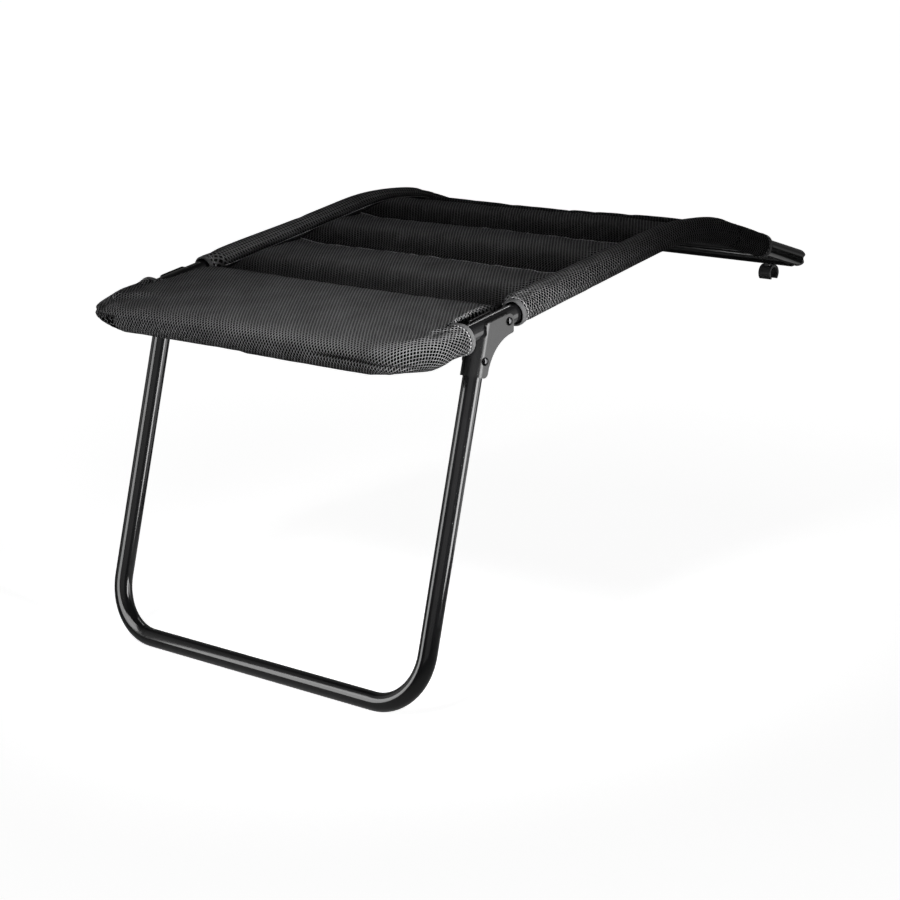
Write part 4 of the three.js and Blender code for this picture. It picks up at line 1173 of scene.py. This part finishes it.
# Hems and stitches
# Tape binds the pillow's two mouths and both ends of each sleeve. Lock stitches in grey thread
# close every channel of the panel, its rear hem and the crease beside each rail.
stitch_spacing = 0.0038
stitch_lift = 0.0002
ring_lift = 0.0001
off_crease = 0.003
sleeve_inset = 0.0068
mouth_inset = 0.0062
sleeve_tape_radius = 0.0131
mouth_ahead, _ = rail_axes(mouth_along)


def rail_ring(sign, along, radius, count):
    """A circle of points round a rail."""
    return ring(on_rail(sign * half_spacing, along, 0), x_axis, rail_axes(along)[1], radius, count)


for side_name, sign, mouth in (("left", -1, left_mouth), ("right", 1, right_mouth)):
    axis = on_rail(sign * half_spacing, mouth_along, 0)

    def from_axis(p, axis=axis):
        off = p - axis
        return (off - mouth_ahead * off.dot(mouth_ahead)).normalized()

    bound_edge(side_name + "_pillow_mouth_tape", mouth, mouth_ahead, from_axis, width=0.0052)
    for end_name, along, way in (("front", sleeve_start, -1), ("rear", sleeve_end, 1)):
        middle = on_rail(sign * half_spacing, along, 0)

        def from_middle(p, middle=middle):
            return (p - middle).normalized()

        loop = rail_ring(sign, along, sleeve_tape_radius, 56)
        off_end = rail_axes(along)[0] * way
        bound_edge(f"{side_name}_sleeve_{end_name}_tape", loop, off_end, from_middle, width=0.0058)


def stitch_tree():
    """Geometry Nodes that lay one stitch after another along the edges of a mesh."""
    tree, given = new_tree("lay_stitches", Piece="Object", Spacing="Float", Finish="Material")
    line = add_node(tree, "GeometryNodeMeshToCurve", [(0, given["Geometry"])])
    places = add_node(
        tree, "GeometryNodeResampleCurve", [("Curve", line.outputs[0]), ("Length", given["Spacing"])],
        mode="LENGTH",
    )
    tangent = add_node(tree, "GeometryNodeInputTangent").outputs[0]
    turn = add_node(tree, "FunctionNodeAlignRotationToVector", [("Vector", tangent)], axis="X")
    return set_copies(tree, given, places.outputs[0], turn.outputs[0])


def surface_line(surface, points, lift, closed=False):
    """Moves points onto a finished piece's surface, lifted off it a little."""
    moved = []
    for p in points:
        place, normal, _, _ = surface.find_nearest(p)
        moved.append(place + normal * lift)
    if closed:
        moved.append(moved[0])
    return moved


half_stitch = ((0.0016, 0.0001), (0.0012, 0.00038), (0.0004, 0.0005))
stitch_profile = [(-x, r) for x, r in half_stitch] + list(reversed(half_stitch))
one_stitch = turned("one_stitch", stitch_profile, count=6, sharp=80)
lines = []
on_pillow, on_panel, on_left, on_right = (
    BVHTree.FromPolygons([v.co for v in piece.data.vertices], [f.vertices for f in piece.data.polygons])
    for piece in (pillow, panel, left_sleeve, right_sleeve)
)
for along, before_seam in zip((*seams_along[1:], panel_end - 0.003), (0.0022, 0.0022, 0.0022, 0.0, 0.0)):
    xs = np.linspace(off_crease - crease_half(along, -1), crease_half(along, 1) - off_crease, 60)
    seam = [on_rail(float(x), along - before_seam, 0.004) for x in xs]
    lines.append(surface_line(on_panel, seam, stitch_lift))
for sign, sleeve in ((-1, on_left), (1, on_right)):
    inner = []
    for along in np.linspace(0.175, 0.628, 90):
        inner.append(on_rail(sign * (crease_half(float(along), sign) + 0.0009), float(along), 0.0045))
    lines.append(surface_line(sleeve, inner, stitch_lift))
    for along in (sleeve_start + sleeve_inset, sleeve_end - sleeve_inset):
        lines.append(surface_line(sleeve, rail_ring(sign, along, 0.0150, 48), ring_lift, closed=True))
for mouth in (left_mouth, right_mouth):
    outer_arc = mouth[top_steps - 8:-under_steps + 6]
    lines.append(surface_line(on_pillow, [p - mouth_ahead * mouth_inset for p in outer_arc], ring_lift))
points = [p for line in lines for p in line]
edges = []
first = 0
for line in lines:
    edges += [(first + i, first + i + 1) for i in range(len(line) - 1)]
    first += len(line)
seam_lines = wires("seam_lines", points, edges)
stitches = grown(
    "cover_stitches", seam_lines, stitch_tree(), piece=one_stitch, spacing=stitch_spacing, finish=thread
)
bpy.data.objects.remove(one_stitch)
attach(stitches, "frame")
